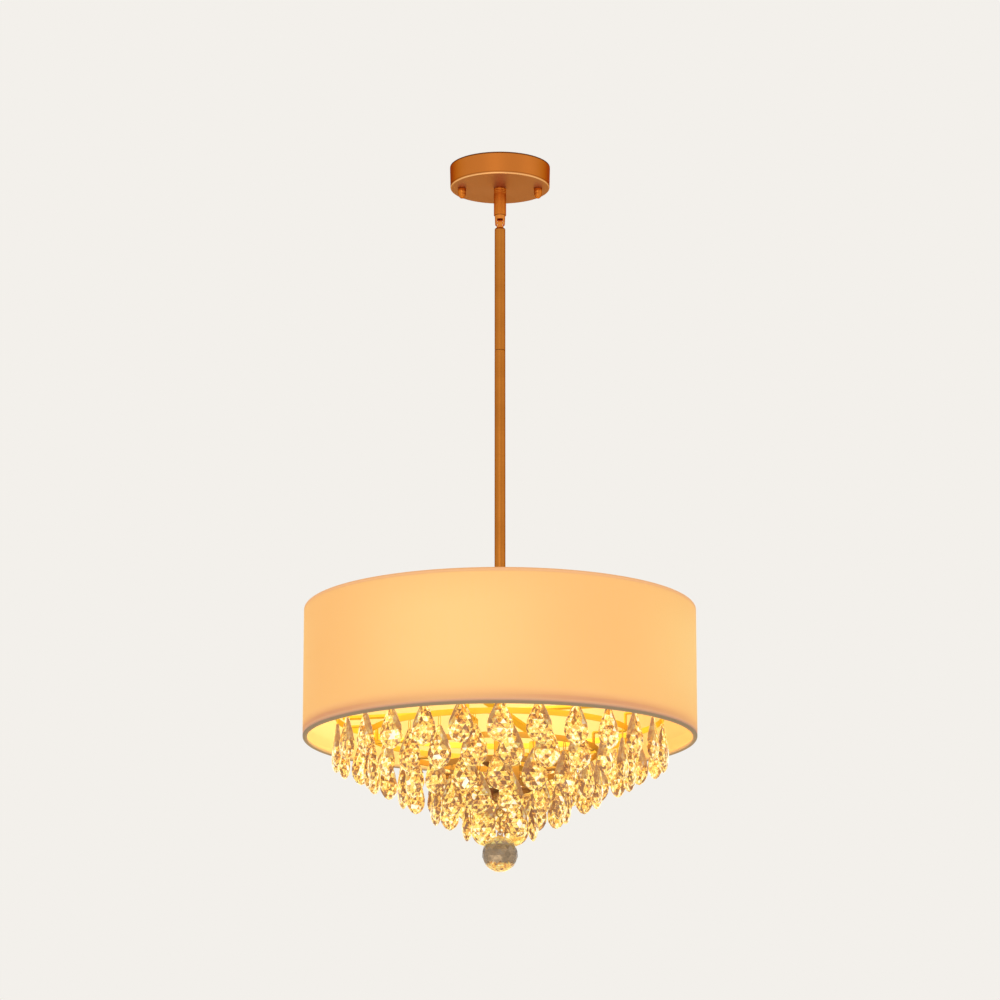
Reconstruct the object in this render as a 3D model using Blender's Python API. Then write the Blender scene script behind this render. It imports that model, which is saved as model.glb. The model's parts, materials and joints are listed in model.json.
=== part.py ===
"""Drum chandelier: a white fabric drum with five stepped tiers of faceted
crystal drops under it and a crystal ball at the bottom, hung on a two-piece rod
and a swivel from a round ceiling canopy.

Metres, +Z up. The origin is the middle of the mounting bar's top face, where it
lies against the ceiling. Everything hangs below it, so heights are negative, and
each piece takes its height from the piece that carries it. The front, which
faces the viewer of the photograph, is -Y.
"""
import math
import random

import bmesh
import bpy
from mathutils import Matrix, Vector

# Allowances
SEAT_GAP = 0.0003
OVERRUN = 0.0020
WELD_DISTANCE = 0.000001

# Ceiling canopy
CANOPY_DIAMETER = 0.1200
CANOPY_HEIGHT = 0.0272
CANOPY_WALL = 0.0010
CANOPY_DRAFT = 0.0012
CANOPY_EDGE = 0.0030
CEILING_CLEARANCE = 0.0005

# Mounting bar and the two studs that hold the canopy up
BAR_LENGTH = 0.1040
BAR_WIDTH = 0.0200
BAR_THICKNESS = 0.0025
BAR_CORNER = 0.0040
BAR_SLOT_LENGTH = 0.0150
BAR_SLOT_WIDTH = 0.0050
BAR_SLOT_PLACE = 0.0280
GROUND_HOLE_DIAMETER = 0.0035
GROUND_HOLE_PLACE = 0.0120
STUD_SPACING = 0.0910
STUD_DIAMETER = 0.0040
STUD_REACH = 0.0085
STUD_NUT_WIDTH = 0.0070
STUD_NUT_HEIGHT = 0.0032
CAP_NUT_DIAMETER = 0.0096
CAP_NUT_LENGTH = 0.0120
CAP_NUT_BAND = 0.0060
CAP_NUT_BORE_DEPTH = 0.0090

# Pipe thread that joins the stack
THREAD_DIAMETER = 0.0097
THREAD_BORE = 0.0064
THREAD_REACH = 0.0110
LOCK_NUT_WIDTH = 0.0160
LOCK_NUT_HEIGHT = 0.0040

# Swivel
COLLAR_DIAMETER = 0.0147
COLLAR_LENGTH = 0.0335
COLLAR_LIP = 0.0032
GROOVE_COUNT = 3
GROOVE_START = 0.0020
GROOVE_PITCH = 0.0022
GROOVE_DEPTH = 0.0004
YOKE_TOP_DIAMETER = 0.0126
YOKE_END_DIAMETER = 0.0116
YOKE_END_ROUND = 0.0018
YOKE_HEAD_DIAMETER = 0.0096
YOKE_HEAD_HEIGHT = 0.0030
YOKE_SHANK_DIAMETER = 0.0074
WIRE_BORE = 0.0036
PIN_DROP = 0.0087
PIN_DIAMETER = 0.0026
KNUCKLE_RADIUS = 0.0036
TONGUE_SLOT = 0.0070
NECK_DIAMETER = 0.0086
NECK_LENGTH = 0.0022
SHOULDER_LENGTH = 0.0018

# Rods
ROD_DIAMETER = 0.0127
ROD_CHAMFER = 0.0005
UPPER_ROD_LENGTH = 0.1500
LOWER_ROD_LENGTH = 0.3000

# Drum shade and its spider
SHADE_DIAMETER = 0.4572
SHADE_HEIGHT = 0.1545
FABRIC_THICKNESS = 0.0008
HEM_HEIGHT = 0.0200
HEM_EXTRA = 0.0005
RING_WIRE_DIAMETER = 0.0032
SPIDER_WIRE_DIAMETER = 0.0040
SPIDER_RISE = 0.0092
SPIDER_WASHER_DIAMETER = 0.0400
SPIDER_WASHER_THICKNESS = 0.0015
SHADE_HUB_HEIGHT = 0.0245
SHADE_HUB_DIAMETER = 0.0200
SHADE_HUB_FLANGE = 0.0280
SHADE_HUB_FLANGE_HEIGHT = 0.0040
SPACER_DIAMETER = 0.0140
UPPER_SPACER_LENGTH = 0.0300

# Lamp cluster
CLUSTER_DIAMETER = 0.0400
CLUSTER_HEIGHT = 0.0220
CLUSTER_EDGE = 0.0040
ARM_BITE = 0.0060
ARM_VISIBLE = 0.0140
SOCKET_LENGTH = 0.0420
SOCKET_DIAMETER = 0.0220
SOCKET_BACK_DIAMETER = 0.0150
SOCKET_SHOULDER = 0.0100
LAMP_CAP_DIAMETER = 0.0124
LAMP_CAP_LENGTH = 0.0200
LAMP_TIP_HEIGHT = 0.0020
BULB_DIAMETER = 0.0340
BULB_LENGTH = 0.0740
LOWER_SPACER_LENGTH = 0.0482

# Crystal frame
CROSS_THICKNESS = 0.0030
CROSS_ARM_WIDTH = 0.0120
CROSS_HUB_DIAMETER = 0.0360
CROSS_OVERHANG = 0.0010
FIRST_RISER = 0.0097
TIER_STEP_HEIGHT = 0.0205
RIB_THICKNESS = 0.0020
RIB_WIDTH = 0.0080
BASE_PLATE_DIAMETER = 0.0440
BASE_PLATE_THICKNESS = 0.0020
TIER_RING_HEIGHT = 0.0070
TIER_RING_THICKNESS = 0.0012
FIRST_TIER_RADIUS = 0.1900
TIER_STEP_RADIUS = 0.0380

# Crystal drops
DROP_LENGTH = 0.0500
DROP_WIDTH = 0.0310
DROP_THICKNESS = 0.0118
DROP_LINK = 0.0100
LINK_WIRE_DIAMETER = 0.0010
DROP_TWIST_DEGREES = 7.0

# Finial, hook and ball
FINIAL_DIAMETER = 0.0180
FINIAL_HEIGHT = 0.0110
FINIAL_EDGE = 0.0025
TANG_WIDTH = 0.0070
TANG_THICKNESS = 0.0024
TANG_LENGTH = 0.0075
HOOK_HOLE_DIAMETER = 0.0034
HOOK_WIRE_DIAMETER = 0.0016
HOOK_LENGTH = 0.0289
HOOK_LOOP_WIDTH = 0.0080
HOOK_LOOP_HEIGHT = 0.0100
HOOK_SEAT_DROP = 0.0004
BALL_DIAMETER = 0.0415
BALL_EAR_WIDTH = 0.0070
BALL_EAR_THICKNESS = 0.0024
BALL_EAR_RISE = 0.0030

# Counts and directions, in degrees from +X and seen from above
TIER_COUNTS = (27, 23, 18, 13, 6)
TIER_TURN_SHARES = (0.0, 0.3, 0.0, 0.33, 0.5)
FRONT_DIRECTION = -90.0
ARM_COUNT = 4
ARM_DIRECTION = -15.0
DRUM_SIDES = 48
CANOPY_SIDES = 36
TURNED_SIDES = 12
LAMP_SIDES = 10
LOOP_STEPS = 12
WIRE_SIDES = 6
HOOP_SIDES = 5
LINK_SIDES = 3
SMOOTH_DEGREES = 35.0
TWIST_SEED = 5

# Outlines, as shares of a piece's size: how far along it and how wide it is,
# and for a drop also how thick it is
DROP_OUTLINE_SHARES = ((0.58, 0.94, 0.97), (0.75, 1.0, 0.98), (0.93, 0.60, 0.56))
DROP_FLAT_SHARE = 0.5
DROP_TOP_SHARE = 0.02
BULB_OUTLINE_SHARES = ((0.05, 0.46), (0.20, 0.86), (0.36, 1.0),
                       (0.56, 0.92), (0.80, 0.50), (0.94, 0.16))
HUB_WAIST_SHARE = 0.8
BALL_BANDS = 7
BALL_SIDES = 12


def bore_radius(shaft_diameter, sides):
    """Corner radius of a faceted bore whose flats stand the seat gap off its shaft."""
    return (shaft_diameter / 2 + SEAT_GAP) / math.cos(math.pi / sides)


# Heights, from the ceiling down
CANOPY_BOTTOM = -CANOPY_HEIGHT
CANOPY_FLOOR = CANOPY_BOTTOM + CANOPY_WALL
LOCK_NUT_TOP = CANOPY_FLOOR + SEAT_GAP + LOCK_NUT_HEIGHT
NIPPLE_TOP = LOCK_NUT_TOP + LOCK_NUT_HEIGHT / 2
COLLAR_TOP = CANOPY_BOTTOM - SEAT_GAP
COLLAR_BOTTOM = COLLAR_TOP - COLLAR_LENGTH
NIPPLE_BOTTOM = COLLAR_TOP - THREAD_REACH
YOKE_TOP = COLLAR_BOTTOM - SEAT_GAP
PIN_HEIGHT = YOKE_TOP - PIN_DROP
YOKE_BOTTOM = PIN_HEIGHT - KNUCKLE_RADIUS - SEAT_GAP
NECK_TOP = YOKE_BOTTOM - SEAT_GAP
STEM_SEAT = NECK_TOP - NECK_LENGTH - SHOULDER_LENGTH
UPPER_ROD_TOP = STEM_SEAT - SEAT_GAP
UPPER_ROD_BOTTOM = UPPER_ROD_TOP - UPPER_ROD_LENGTH
LOWER_ROD_TOP = UPPER_ROD_BOTTOM - SEAT_GAP
LOWER_ROD_BOTTOM = LOWER_ROD_TOP - LOWER_ROD_LENGTH
HUB_TOP = LOWER_ROD_BOTTOM - SEAT_GAP
WASHER_TOP = HUB_TOP - SHADE_HUB_HEIGHT - SEAT_GAP
WASHER_BOTTOM = WASHER_TOP - SPIDER_WASHER_THICKNESS
TOP_WIRE_HEIGHT = WASHER_TOP - SPIDER_WASHER_THICKNESS / 2 + SPIDER_RISE
SHADE_TOP = TOP_WIRE_HEIGHT + RING_WIRE_DIAMETER / 2 + SEAT_GAP + FABRIC_THICKNESS
SHADE_BOTTOM = SHADE_TOP - SHADE_HEIGHT
BOTTOM_WIRE_HEIGHT = SHADE_BOTTOM + FABRIC_THICKNESS + SEAT_GAP + RING_WIRE_DIAMETER / 2
SPIDER_NUT_TOP = WASHER_BOTTOM - SEAT_GAP
UPPER_SPACER_TOP = SPIDER_NUT_TOP - LOCK_NUT_HEIGHT - SEAT_GAP
CLUSTER_TOP = UPPER_SPACER_TOP - UPPER_SPACER_LENGTH - SEAT_GAP
LAMP_HEIGHT = CLUSTER_TOP - CLUSTER_HEIGHT / 2
LOWER_SPACER_TOP = CLUSTER_TOP - CLUSTER_HEIGHT - SEAT_GAP
CROSS_TOP = LOWER_SPACER_TOP - LOWER_SPACER_LENGTH - SEAT_GAP
CROSS_BOTTOM = CROSS_TOP - CROSS_THICKNESS
RIB_TOP = CROSS_BOTTOM - SEAT_GAP
FIRST_RING_BOTTOM = RIB_TOP - FIRST_RISER
RING_BOTTOMS = [FIRST_RING_BOTTOM - tier * TIER_STEP_HEIGHT for tier in range(len(TIER_COUNTS))]
RING_RADII = [FIRST_TIER_RADIUS - tier * TIER_STEP_RADIUS for tier in range(len(TIER_COUNTS))]
BASE_PLATE_TOP = RING_BOTTOMS[-1] - SEAT_GAP
FINIAL_TOP = BASE_PLATE_TOP - BASE_PLATE_THICKNESS - SEAT_GAP
TANG_TOP = FINIAL_TOP - FINIAL_HEIGHT
TANG_HOLE_HEIGHT = TANG_TOP - TANG_LENGTH
HOOK_TOP = TANG_HOLE_HEIGHT - HOOK_SEAT_DROP
HOOK_BOTTOM = HOOK_TOP - HOOK_LENGTH
EAR_HOLE_HEIGHT = HOOK_BOTTOM - HOOK_SEAT_DROP
BALL_CENTRE = EAR_HOLE_HEIGHT - BALL_EAR_RISE - BALL_DIAMETER / 2

# Radii that several pieces share
THREAD_HOLE_RADIUS = bore_radius(THREAD_DIAMETER, TURNED_SIDES)
SHADE_RADIUS = SHADE_DIAMETER / 2
WIRE_RING_RADIUS = SHADE_RADIUS - FABRIC_THICKNESS - SEAT_GAP - RING_WIRE_DIAMETER / 2
BOTTOM_WIRE_RADIUS = WIRE_RING_RADIUS - HEM_EXTRA
ARM_START = CLUSTER_DIAMETER / 2 - ARM_BITE
SOCKET_START = CLUSTER_DIAMETER / 2 + ARM_VISIBLE
ARM_LENGTH = ARM_BITE + ARM_VISIBLE + ARM_BITE
LAMP_CAP_START = SOCKET_LENGTH - LAMP_CAP_LENGTH
ARM_DIRECTIONS = [ARM_DIRECTION + 360.0 * arm / ARM_COUNT for arm in range(ARM_COUNT)]


# Looks

def principled(name, colour, roughness, metallic=0.0, transmission=0.0):
    """A material made of one Principled BSDF."""
    look = bpy.data.materials.new(name)
    look.use_nodes = True
    shader = look.node_tree.nodes["Principled BSDF"]
    shader.inputs["Base Color"].default_value = (*colour, 1.0)
    shader.inputs["Roughness"].default_value = roughness
    shader.inputs["Metallic"].default_value = metallic
    shader.inputs["Transmission Weight"].default_value = transmission
    look.diffuse_color = (*colour, 1.0)
    return look


def make_looks():
    """All the part's materials by name."""
    return {
        "gold": principled("satin_gold", (0.83, 0.58, 0.28), 0.35, 1.0),
        "steel": principled("zinc_steel", (0.66, 0.66, 0.64), 0.40, 1.0),
        "fabric": principled("shade_fabric", (0.93, 0.90, 0.84), 0.85),
        "socket": principled("socket_plastic", (0.90, 0.88, 0.82), 0.50),
        "bulb": principled("bulb_glass", (1.00, 0.90, 0.72), 0.15),
        "crystal": principled("crystal_glass", (0.97, 0.95, 0.92), 0.03, 0.0, 0.9),
    }


# Mesh makers: each returns a bmesh in the piece's own frame

def turned(profile, sides, closed=False):
    """A profile of (radius, height) points turned about Z.

    An open profile starts and ends on the axis, and a closed one is the
    section of a ring or a tube."""
    shape = bmesh.new()
    points = [shape.verts.new((radius, 0, height)) for radius, height in profile]
    edges = [shape.edges.new(pair) for pair in zip(points, points[1:])]
    if closed:
        edges.append(shape.edges.new((points[-1], points[0])))
    bmesh.ops.spin(shape, geom=points + edges, cent=(0, 0, 0), axis=(0, 0, 1),
                   angle=math.tau, steps=sides)
    return sealed(shape)


def prism(outline, height):
    """A flat outline of (x, y) points carried down by a height."""
    shape = bmesh.new()
    face = shape.faces.new([shape.verts.new((x, y, 0)) for x, y in outline])
    carried = bmesh.ops.extrude_face_region(shape, geom=[face])["geom"]
    moved = [item for item in carried if isinstance(item, bmesh.types.BMVert)]
    bmesh.ops.translate(shape, vec=(0, 0, -height), verts=moved)
    return sealed(shape)


def sealed(shape):
    """Weld the points that meet and turn every face outwards."""
    bmesh.ops.remove_doubles(shape, verts=shape.verts, dist=WELD_DISTANCE)
    bmesh.ops.recalc_face_normals(shape, faces=shape.faces)
    return shape


def cylinder(radius, height, sides):
    """A round bar from height 0 down."""
    return turned([(0, 0), (radius, 0), (radius, -height), (0, -height)], sides)


def tube(outer, inner, height, sides, chamfer=0.0):
    """A tube from height 0 down, its outer edges broken by a chamfer."""
    outside = [(outer, 0), (outer, -height)]
    if chamfer > 0:
        outside = [(outer - chamfer, 0), (outer, -chamfer),
                   (outer, chamfer - height), (outer - chamfer, -height)]
    return turned(outside + [(inner, -height), (inner, 0)], sides, closed=True)


def hoop(radius, wire_diameter, sides, wire_sides=HOOP_SIDES):
    """A closed ring of round wire, centred on height 0."""
    section = [(radius + wire_diameter / 2 * math.cos(math.tau * k / wire_sides),
                wire_diameter / 2 * math.sin(math.tau * k / wire_sides)) for k in range(wire_sides)]
    return turned(section, sides, closed=True)


def nut(width, height):
    """A hexagon block from height 0 down, without its hole."""
    return cylinder(width / 2 / math.cos(math.pi / 6), height, 6)


def copies(pattern, places):
    """One mesh that holds a copy of a pattern at each place."""
    source = bpy.data.meshes.new("pattern")
    pattern.to_mesh(source)
    shape = bmesh.new()
    for place in places:
        start = len(shape.verts)
        shape.from_mesh(source)
        shape.verts.ensure_lookup_table()
        bmesh.ops.transform(shape, matrix=place, verts=shape.verts[start:])
    bpy.data.meshes.remove(source)
    return shape


def arc(centre, radius, start, end, steps):
    """Points of an arc in degrees about a centre, both ends included."""
    turns = [math.radians(start + (end - start) * k / steps) for k in range(steps + 1)]
    return [(centre[0] + radius * math.cos(turn), centre[1] + radius * math.sin(turn)) for turn in turns]


def rounded_strip(length, width, corner, steps):
    """Outline of a rectangle with round corners, centred on the origin."""
    across = length / 2 - corner
    along = width / 2 - corner
    corners = ((across, along, 0), (-across, along, 90), (-across, -along, 180), (across, -along, 270))
    return [point for x, y, start in corners for point in arc((x, y), corner, start, start + 90, steps)]


def pointing(direction):
    """Turn that lays an upright shape along a direction, its top end outermost."""
    return Matrix.Rotation(math.radians(direction), 4, 'Z') @ Matrix.Rotation(math.pi / 2, 4, 'Y')


def at(x, y, z):
    """A plain shift."""
    return Matrix.Translation((x, y, z))


# Placing and joining

def place(name, shape, look, parent, height=0.0, x=0.0, y=0.0, turn=None):
    """Put a shape in the scene at a world place, riding on a parent empty."""
    mesh = bpy.data.meshes.new(name)
    shape.to_mesh(mesh)
    shape.free()
    mesh.shade_smooth()
    mesh.set_sharp_from_angle(angle=math.radians(SMOOTH_DEGREES))
    thing = bpy.data.objects.new(name, mesh)
    bpy.context.collection.objects.link(thing)
    if look is not None:
        mesh.materials.append(look)
    thing.parent = parent
    thing.location = Vector((x, y, height)) - parent.matrix_world.translation
    if turn is not None:
        thing.rotation_euler = turn.to_euler()
    return thing


def joint_axis(name, height, parent=None):
    """An empty on a joint's axis, which carries the pieces that move with it."""
    empty = bpy.data.objects.new(name, None)
    bpy.context.collection.objects.link(empty)
    empty.parent = parent
    empty.location = (0, 0, height - (parent.matrix_world.translation.z if parent else 0))
    bpy.context.view_layer.update()
    return empty


def combine(target, tool, operation):
    """Boolean one object with another, which then only guides it."""
    step = target.modifiers.new(tool.name, 'BOOLEAN')
    step.operation = operation
    step.object = tool
    tool.hide_render = True
    tool.display_type = 'WIRE'
    return target


# Ceiling end

def mounting_bar(looks, root):
    """Steel strap with a slot each side for the ceiling screws and a hole for each stud."""
    outline = rounded_strip(BAR_LENGTH, BAR_WIDTH, BAR_CORNER, 3)
    strap = place("mounting_bar", prism(outline, BAR_THICKNESS), looks["steel"], root)
    depth = BAR_THICKNESS + 2 * OVERRUN
    slot = prism(rounded_strip(BAR_SLOT_LENGTH, BAR_SLOT_WIDTH, BAR_SLOT_WIDTH / 2, 4), depth)
    slots = place("cut_bar_slots", copies(slot, [at(side * BAR_SLOT_PLACE, 0, 0) for side in (-1, 1)]),
                  None, root, height=OVERRUN)
    hole = cylinder(bore_radius(STUD_DIAMETER, LAMP_SIDES), depth, LAMP_SIDES)
    holes = place("cut_bar_holes", copies(hole, [at(side * STUD_SPACING / 2, 0, 0) for side in (-1, 1)]),
                  None, root, height=OVERRUN)
    ground = place("cut_ground_hole", cylinder(GROUND_HOLE_DIAMETER / 2, depth, LAMP_SIDES),
                   None, root, height=OVERRUN, x=GROUND_HOLE_PLACE)
    for tool in (slots, holes, ground):
        combine(strap, tool, 'DIFFERENCE')


def canopy_studs(looks, root):
    """A stud, its nut under the bar and its cap nut under the canopy, on each side."""
    length = CANOPY_HEIGHT + STUD_REACH
    cap_profile = [(0, -CAP_NUT_LENGTH)]
    cap_radius = CAP_NUT_DIAMETER / 2
    dome = CAP_NUT_LENGTH - CAP_NUT_BAND
    cap_profile += [(cap_radius * math.sin(turn), -CAP_NUT_BAND - dome * math.cos(turn))
                    for turn in (math.pi / 6, math.pi / 3, math.pi / 2)]
    hole = bore_radius(STUD_DIAMETER, LAMP_SIDES)
    cap_profile += [(cap_radius, 0), (hole, 0), (hole, -CAP_NUT_BORE_DEPTH), (0, -CAP_NUT_BORE_DEPTH)]
    for side, label in ((-1, "left"), (1, "right")):
        x = side * STUD_SPACING / 2
        place("canopy_stud_" + label, cylinder(STUD_DIAMETER / 2, length, LAMP_SIDES),
              looks["steel"], root, height=-SEAT_GAP, x=x)
        fixing = place("stud_nut_" + label, nut(STUD_NUT_WIDTH, STUD_NUT_HEIGHT),
                       looks["steel"], root, height=-BAR_THICKNESS - SEAT_GAP, x=x)
        bore = place("cut_stud_nut_" + label, cylinder(hole, STUD_NUT_HEIGHT + 2 * OVERRUN, LAMP_SIDES),
                     None, root, height=OVERRUN - BAR_THICKNESS, x=x)
        combine(fixing, bore, 'DIFFERENCE')
        place("cap_nut_" + label, turned(cap_profile, LAMP_SIDES), looks["gold"], root,
              height=CANOPY_BOTTOM - SEAT_GAP, x=x)


def canopy(looks, root):
    """Spun pan, open to the ceiling, with a hole for the nipple and one for each stud."""
    radius = CANOPY_DIAMETER / 2
    rim = radius - CANOPY_DRAFT
    edge = radius - CANOPY_EDGE
    outside = [(rim, -CEILING_CLEARANCE)] + arc((edge, CANOPY_BOTTOM + CANOPY_EDGE), CANOPY_EDGE, 0, -90, 3)
    inside = arc((edge, CANOPY_BOTTOM + CANOPY_EDGE), CANOPY_EDGE - CANOPY_WALL, -90, 0, 2)
    inside.append((rim - CANOPY_WALL, -CEILING_CLEARANCE))
    hole = [(THREAD_HOLE_RADIUS, CANOPY_BOTTOM), (THREAD_HOLE_RADIUS, CANOPY_FLOOR)]
    pan = place("canopy", turned(outside + hole + inside, CANOPY_SIDES, closed=True), looks["gold"], root)
    drill = cylinder(bore_radius(STUD_DIAMETER, LAMP_SIDES), CANOPY_WALL + 2 * OVERRUN, LAMP_SIDES)
    drills = place("cut_canopy_holes", copies(drill, [at(side * STUD_SPACING / 2, 0, 0) for side in (-1, 1)]),
                   None, root, height=CANOPY_FLOOR + OVERRUN)
    combine(pan, drills, 'DIFFERENCE')


def lock_nut(name, looks, parent, top):
    """Thin hexagon nut on the pipe thread."""
    body = place(name, nut(LOCK_NUT_WIDTH, LOCK_NUT_HEIGHT), looks["steel"], parent, height=top)
    bore = place("cut_" + name, cylinder(THREAD_HOLE_RADIUS, LOCK_NUT_HEIGHT + 2 * OVERRUN, TURNED_SIDES),
                 None, parent, height=top + OVERRUN)
    combine(body, bore, 'DIFFERENCE')


def threaded_tube(name, looks, parent, top, length):
    """Length of pipe-thread tube."""
    place(name, tube(THREAD_DIAMETER / 2, THREAD_BORE / 2, length, TURNED_SIDES), looks["steel"], parent,
          height=top)


# Swivel

def swivel_collar(looks, root):
    """Collar screwed on the nipple. A lip at its foot holds up the yoke's head, which turns on it."""
    outer = COLLAR_DIAMETER / 2
    outside = [(outer, 0)]
    for groove in range(GROOVE_COUNT):
        middle = -GROOVE_START - groove * GROOVE_PITCH
        outside += [(outer, middle + GROOVE_DEPTH), (outer - GROOVE_DEPTH, middle),
                    (outer, middle - GROOVE_DEPTH)]
    lip = bore_radius(YOKE_SHANK_DIAMETER, TURNED_SIDES)
    inside = [(lip, -COLLAR_LENGTH), (lip, COLLAR_LIP - COLLAR_LENGTH),
              (THREAD_HOLE_RADIUS, COLLAR_LIP - COLLAR_LENGTH), (THREAD_HOLE_RADIUS, 0)]
    outside.append((outer, -COLLAR_LENGTH))
    place("swivel_collar", turned(outside + inside, TURNED_SIDES, closed=True), looks["gold"], root,
          height=COLLAR_TOP)


def swivel_yoke(looks, turning):
    """Yoke that turns in the collar, slotted from front to back for the stem's tongue."""
    head_foot = COLLAR_BOTTOM + COLLAR_LIP + SEAT_GAP
    head_top = head_foot + YOKE_HEAD_HEIGHT
    head = YOKE_HEAD_DIAMETER / 2
    shank = YOKE_SHANK_DIAMETER / 2
    end = YOKE_END_DIAMETER / 2
    profile = [(WIRE_BORE / 2, head_top), (head, head_top), (head, head_foot),
               (shank, head_foot), (shank, YOKE_TOP),
               (YOKE_TOP_DIAMETER / 2, YOKE_TOP), (end, YOKE_BOTTOM + YOKE_END_ROUND),
               (end - YOKE_END_ROUND / 2, YOKE_BOTTOM + YOKE_END_ROUND / 4),
               (end - YOKE_END_ROUND, YOKE_BOTTOM), (WIRE_BORE / 2, YOKE_BOTTOM)]
    profile = [(radius, height - YOKE_TOP) for radius, height in profile]
    yoke = place("swivel_yoke", turned(profile, TURNED_SIDES, closed=True), looks["gold"], turning,
                 height=YOKE_TOP)
    wide = YOKE_TOP_DIAMETER + OVERRUN
    crotch = PIN_HEIGHT + KNUCKLE_RADIUS + SEAT_GAP
    slot_depth = crotch - YOKE_BOTTOM + OVERRUN
    half = TONGUE_SLOT / 2
    slot = prism([(-half, -wide), (half, -wide), (half, wide), (-half, wide)], slot_depth)
    combine(yoke, place("cut_yoke_slot", slot, None, turning, height=crotch), 'DIFFERENCE')
    round_end = KNUCKLE_RADIUS + SEAT_GAP
    lead = round_end / 2
    above = head_top - PIN_HEIGHT + OVERRUN
    cheek = [(wide, lead), (round_end, 0)] + arc((0, 0), round_end, -30, -150, 4)
    cheek += [(-round_end, 0), (-wide, lead), (-wide, above), (wide, above)]
    sideways = Matrix.Rotation(math.pi / 2, 4, 'Z') @ Matrix.Rotation(math.pi / 2, 4, 'X')
    cheeks = place("guide_yoke_cheeks", prism(cheek, 2 * wide), None, turning, height=PIN_HEIGHT, x=wide,
                   turn=sideways)
    combine(yoke, cheeks, 'INTERSECT')
    bore = place("cut_yoke_pin", cross_bar(bore_radius(PIN_DIAMETER, LAMP_SIDES), 2 * wide), None, turning,
                 height=PIN_HEIGHT)
    combine(yoke, bore, 'DIFFERENCE')
    pin_length = YOKE_END_DIAMETER - 2 * SEAT_GAP
    place("swivel_pin", cross_bar(PIN_DIAMETER / 2, pin_length), looks["gold"], turning, height=PIN_HEIGHT)


def cross_bar(radius, length):
    """A round bar along X, centred on the origin."""
    bar = cylinder(radius, length, LAMP_SIDES)
    bmesh.ops.transform(bar, matrix=pointing(0) @ at(0, 0, length / 2), verts=bar.verts)
    return bar


def swivel_stem(looks, hanging):
    """Tongue that tilts on the pin, with a neck, a shoulder as wide as the rod and a thread into it."""
    rod = ROD_DIAMETER / 2
    neck = NECK_DIAMETER / 2
    thread = THREAD_DIAMETER / 2
    foot = STEM_SEAT - THREAD_REACH
    profile = [(0, NECK_TOP), (neck, NECK_TOP), (neck, NECK_TOP - NECK_LENGTH),
               (rod, STEM_SEAT + ROD_CHAMFER), (rod, STEM_SEAT),
               (thread, STEM_SEAT), (thread, foot), (0, foot)]
    profile = [(radius, height - PIN_HEIGHT) for radius, height in profile]
    stem = place("swivel_stem", turned(profile, TURNED_SIDES), looks["gold"], hanging, height=PIN_HEIGHT)
    thickness = TONGUE_SLOT - 2 * SEAT_GAP
    root = NECK_TOP - PIN_HEIGHT - NECK_LENGTH / 2
    outline = arc((0, 0), KNUCKLE_RADIUS, 0, 180, 6) + [(-KNUCKLE_RADIUS, root), (KNUCKLE_RADIUS, root)]
    blade = prism(outline, thickness)
    sideways = Matrix.Rotation(math.pi / 2, 4, 'Z') @ Matrix.Rotation(math.pi / 2, 4, 'X')
    bmesh.ops.transform(blade, matrix=sideways @ at(0, 0, thickness / 2), verts=blade.verts)
    tongue = place("guide_stem_tongue", blade, None, hanging, height=PIN_HEIGHT)
    combine(stem, tongue, 'UNION')
    bore = place("cut_stem_pin", cross_bar(bore_radius(PIN_DIAMETER, LAMP_SIDES), YOKE_TOP_DIAMETER), None,
                 hanging, height=PIN_HEIGHT)
    combine(stem, bore, 'DIFFERENCE')


# Rods

def rods(looks, hanging):
    """Two tubes screwed together on a coupler inside them."""
    for name, top, length in (("upper_rod", UPPER_ROD_TOP, UPPER_ROD_LENGTH),
                              ("lower_rod", LOWER_ROD_TOP, LOWER_ROD_LENGTH)):
        pipe = tube(ROD_DIAMETER / 2, THREAD_HOLE_RADIUS, length, TURNED_SIDES, ROD_CHAMFER)
        place(name, pipe, looks["gold"], hanging, height=top)
    threaded_tube("rod_coupler", looks, hanging, LOWER_ROD_TOP + THREAD_REACH, 2 * THREAD_REACH)


# Shade

def shade_fabric(looks, hanging):
    """Drum of lined fabric. Its edges roll over the wire rings and its foot has a hem inside."""
    wall = SHADE_RADIUS - FABRIC_THICKNESS
    wire = RING_WIRE_DIAMETER + 2 * SEAT_GAP
    roll = FABRIC_THICKNESS + wire / 2
    hem = wall - HEM_EXTRA
    foot = -SHADE_HEIGHT
    profile = [(SHADE_RADIUS, 0), (SHADE_RADIUS, foot), (hem - wire - FABRIC_THICKNESS, foot),
               (hem - wire - FABRIC_THICKNESS, foot + roll), (hem - wire, foot + roll),
               (hem - wire, foot + FABRIC_THICKNESS), (hem, foot + FABRIC_THICKNESS),
               (hem, foot + HEM_HEIGHT), (wall, foot + HEM_HEIGHT),
               (wall, -FABRIC_THICKNESS), (wall - wire, -FABRIC_THICKNESS),
               (wall - wire, -roll), (wall - wire - FABRIC_THICKNESS, -roll),
               (wall - wire - FABRIC_THICKNESS, 0)]
    place("shade_fabric", turned(profile, DRUM_SIDES, closed=True), looks["fabric"], hanging,
          height=SHADE_TOP)


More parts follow.
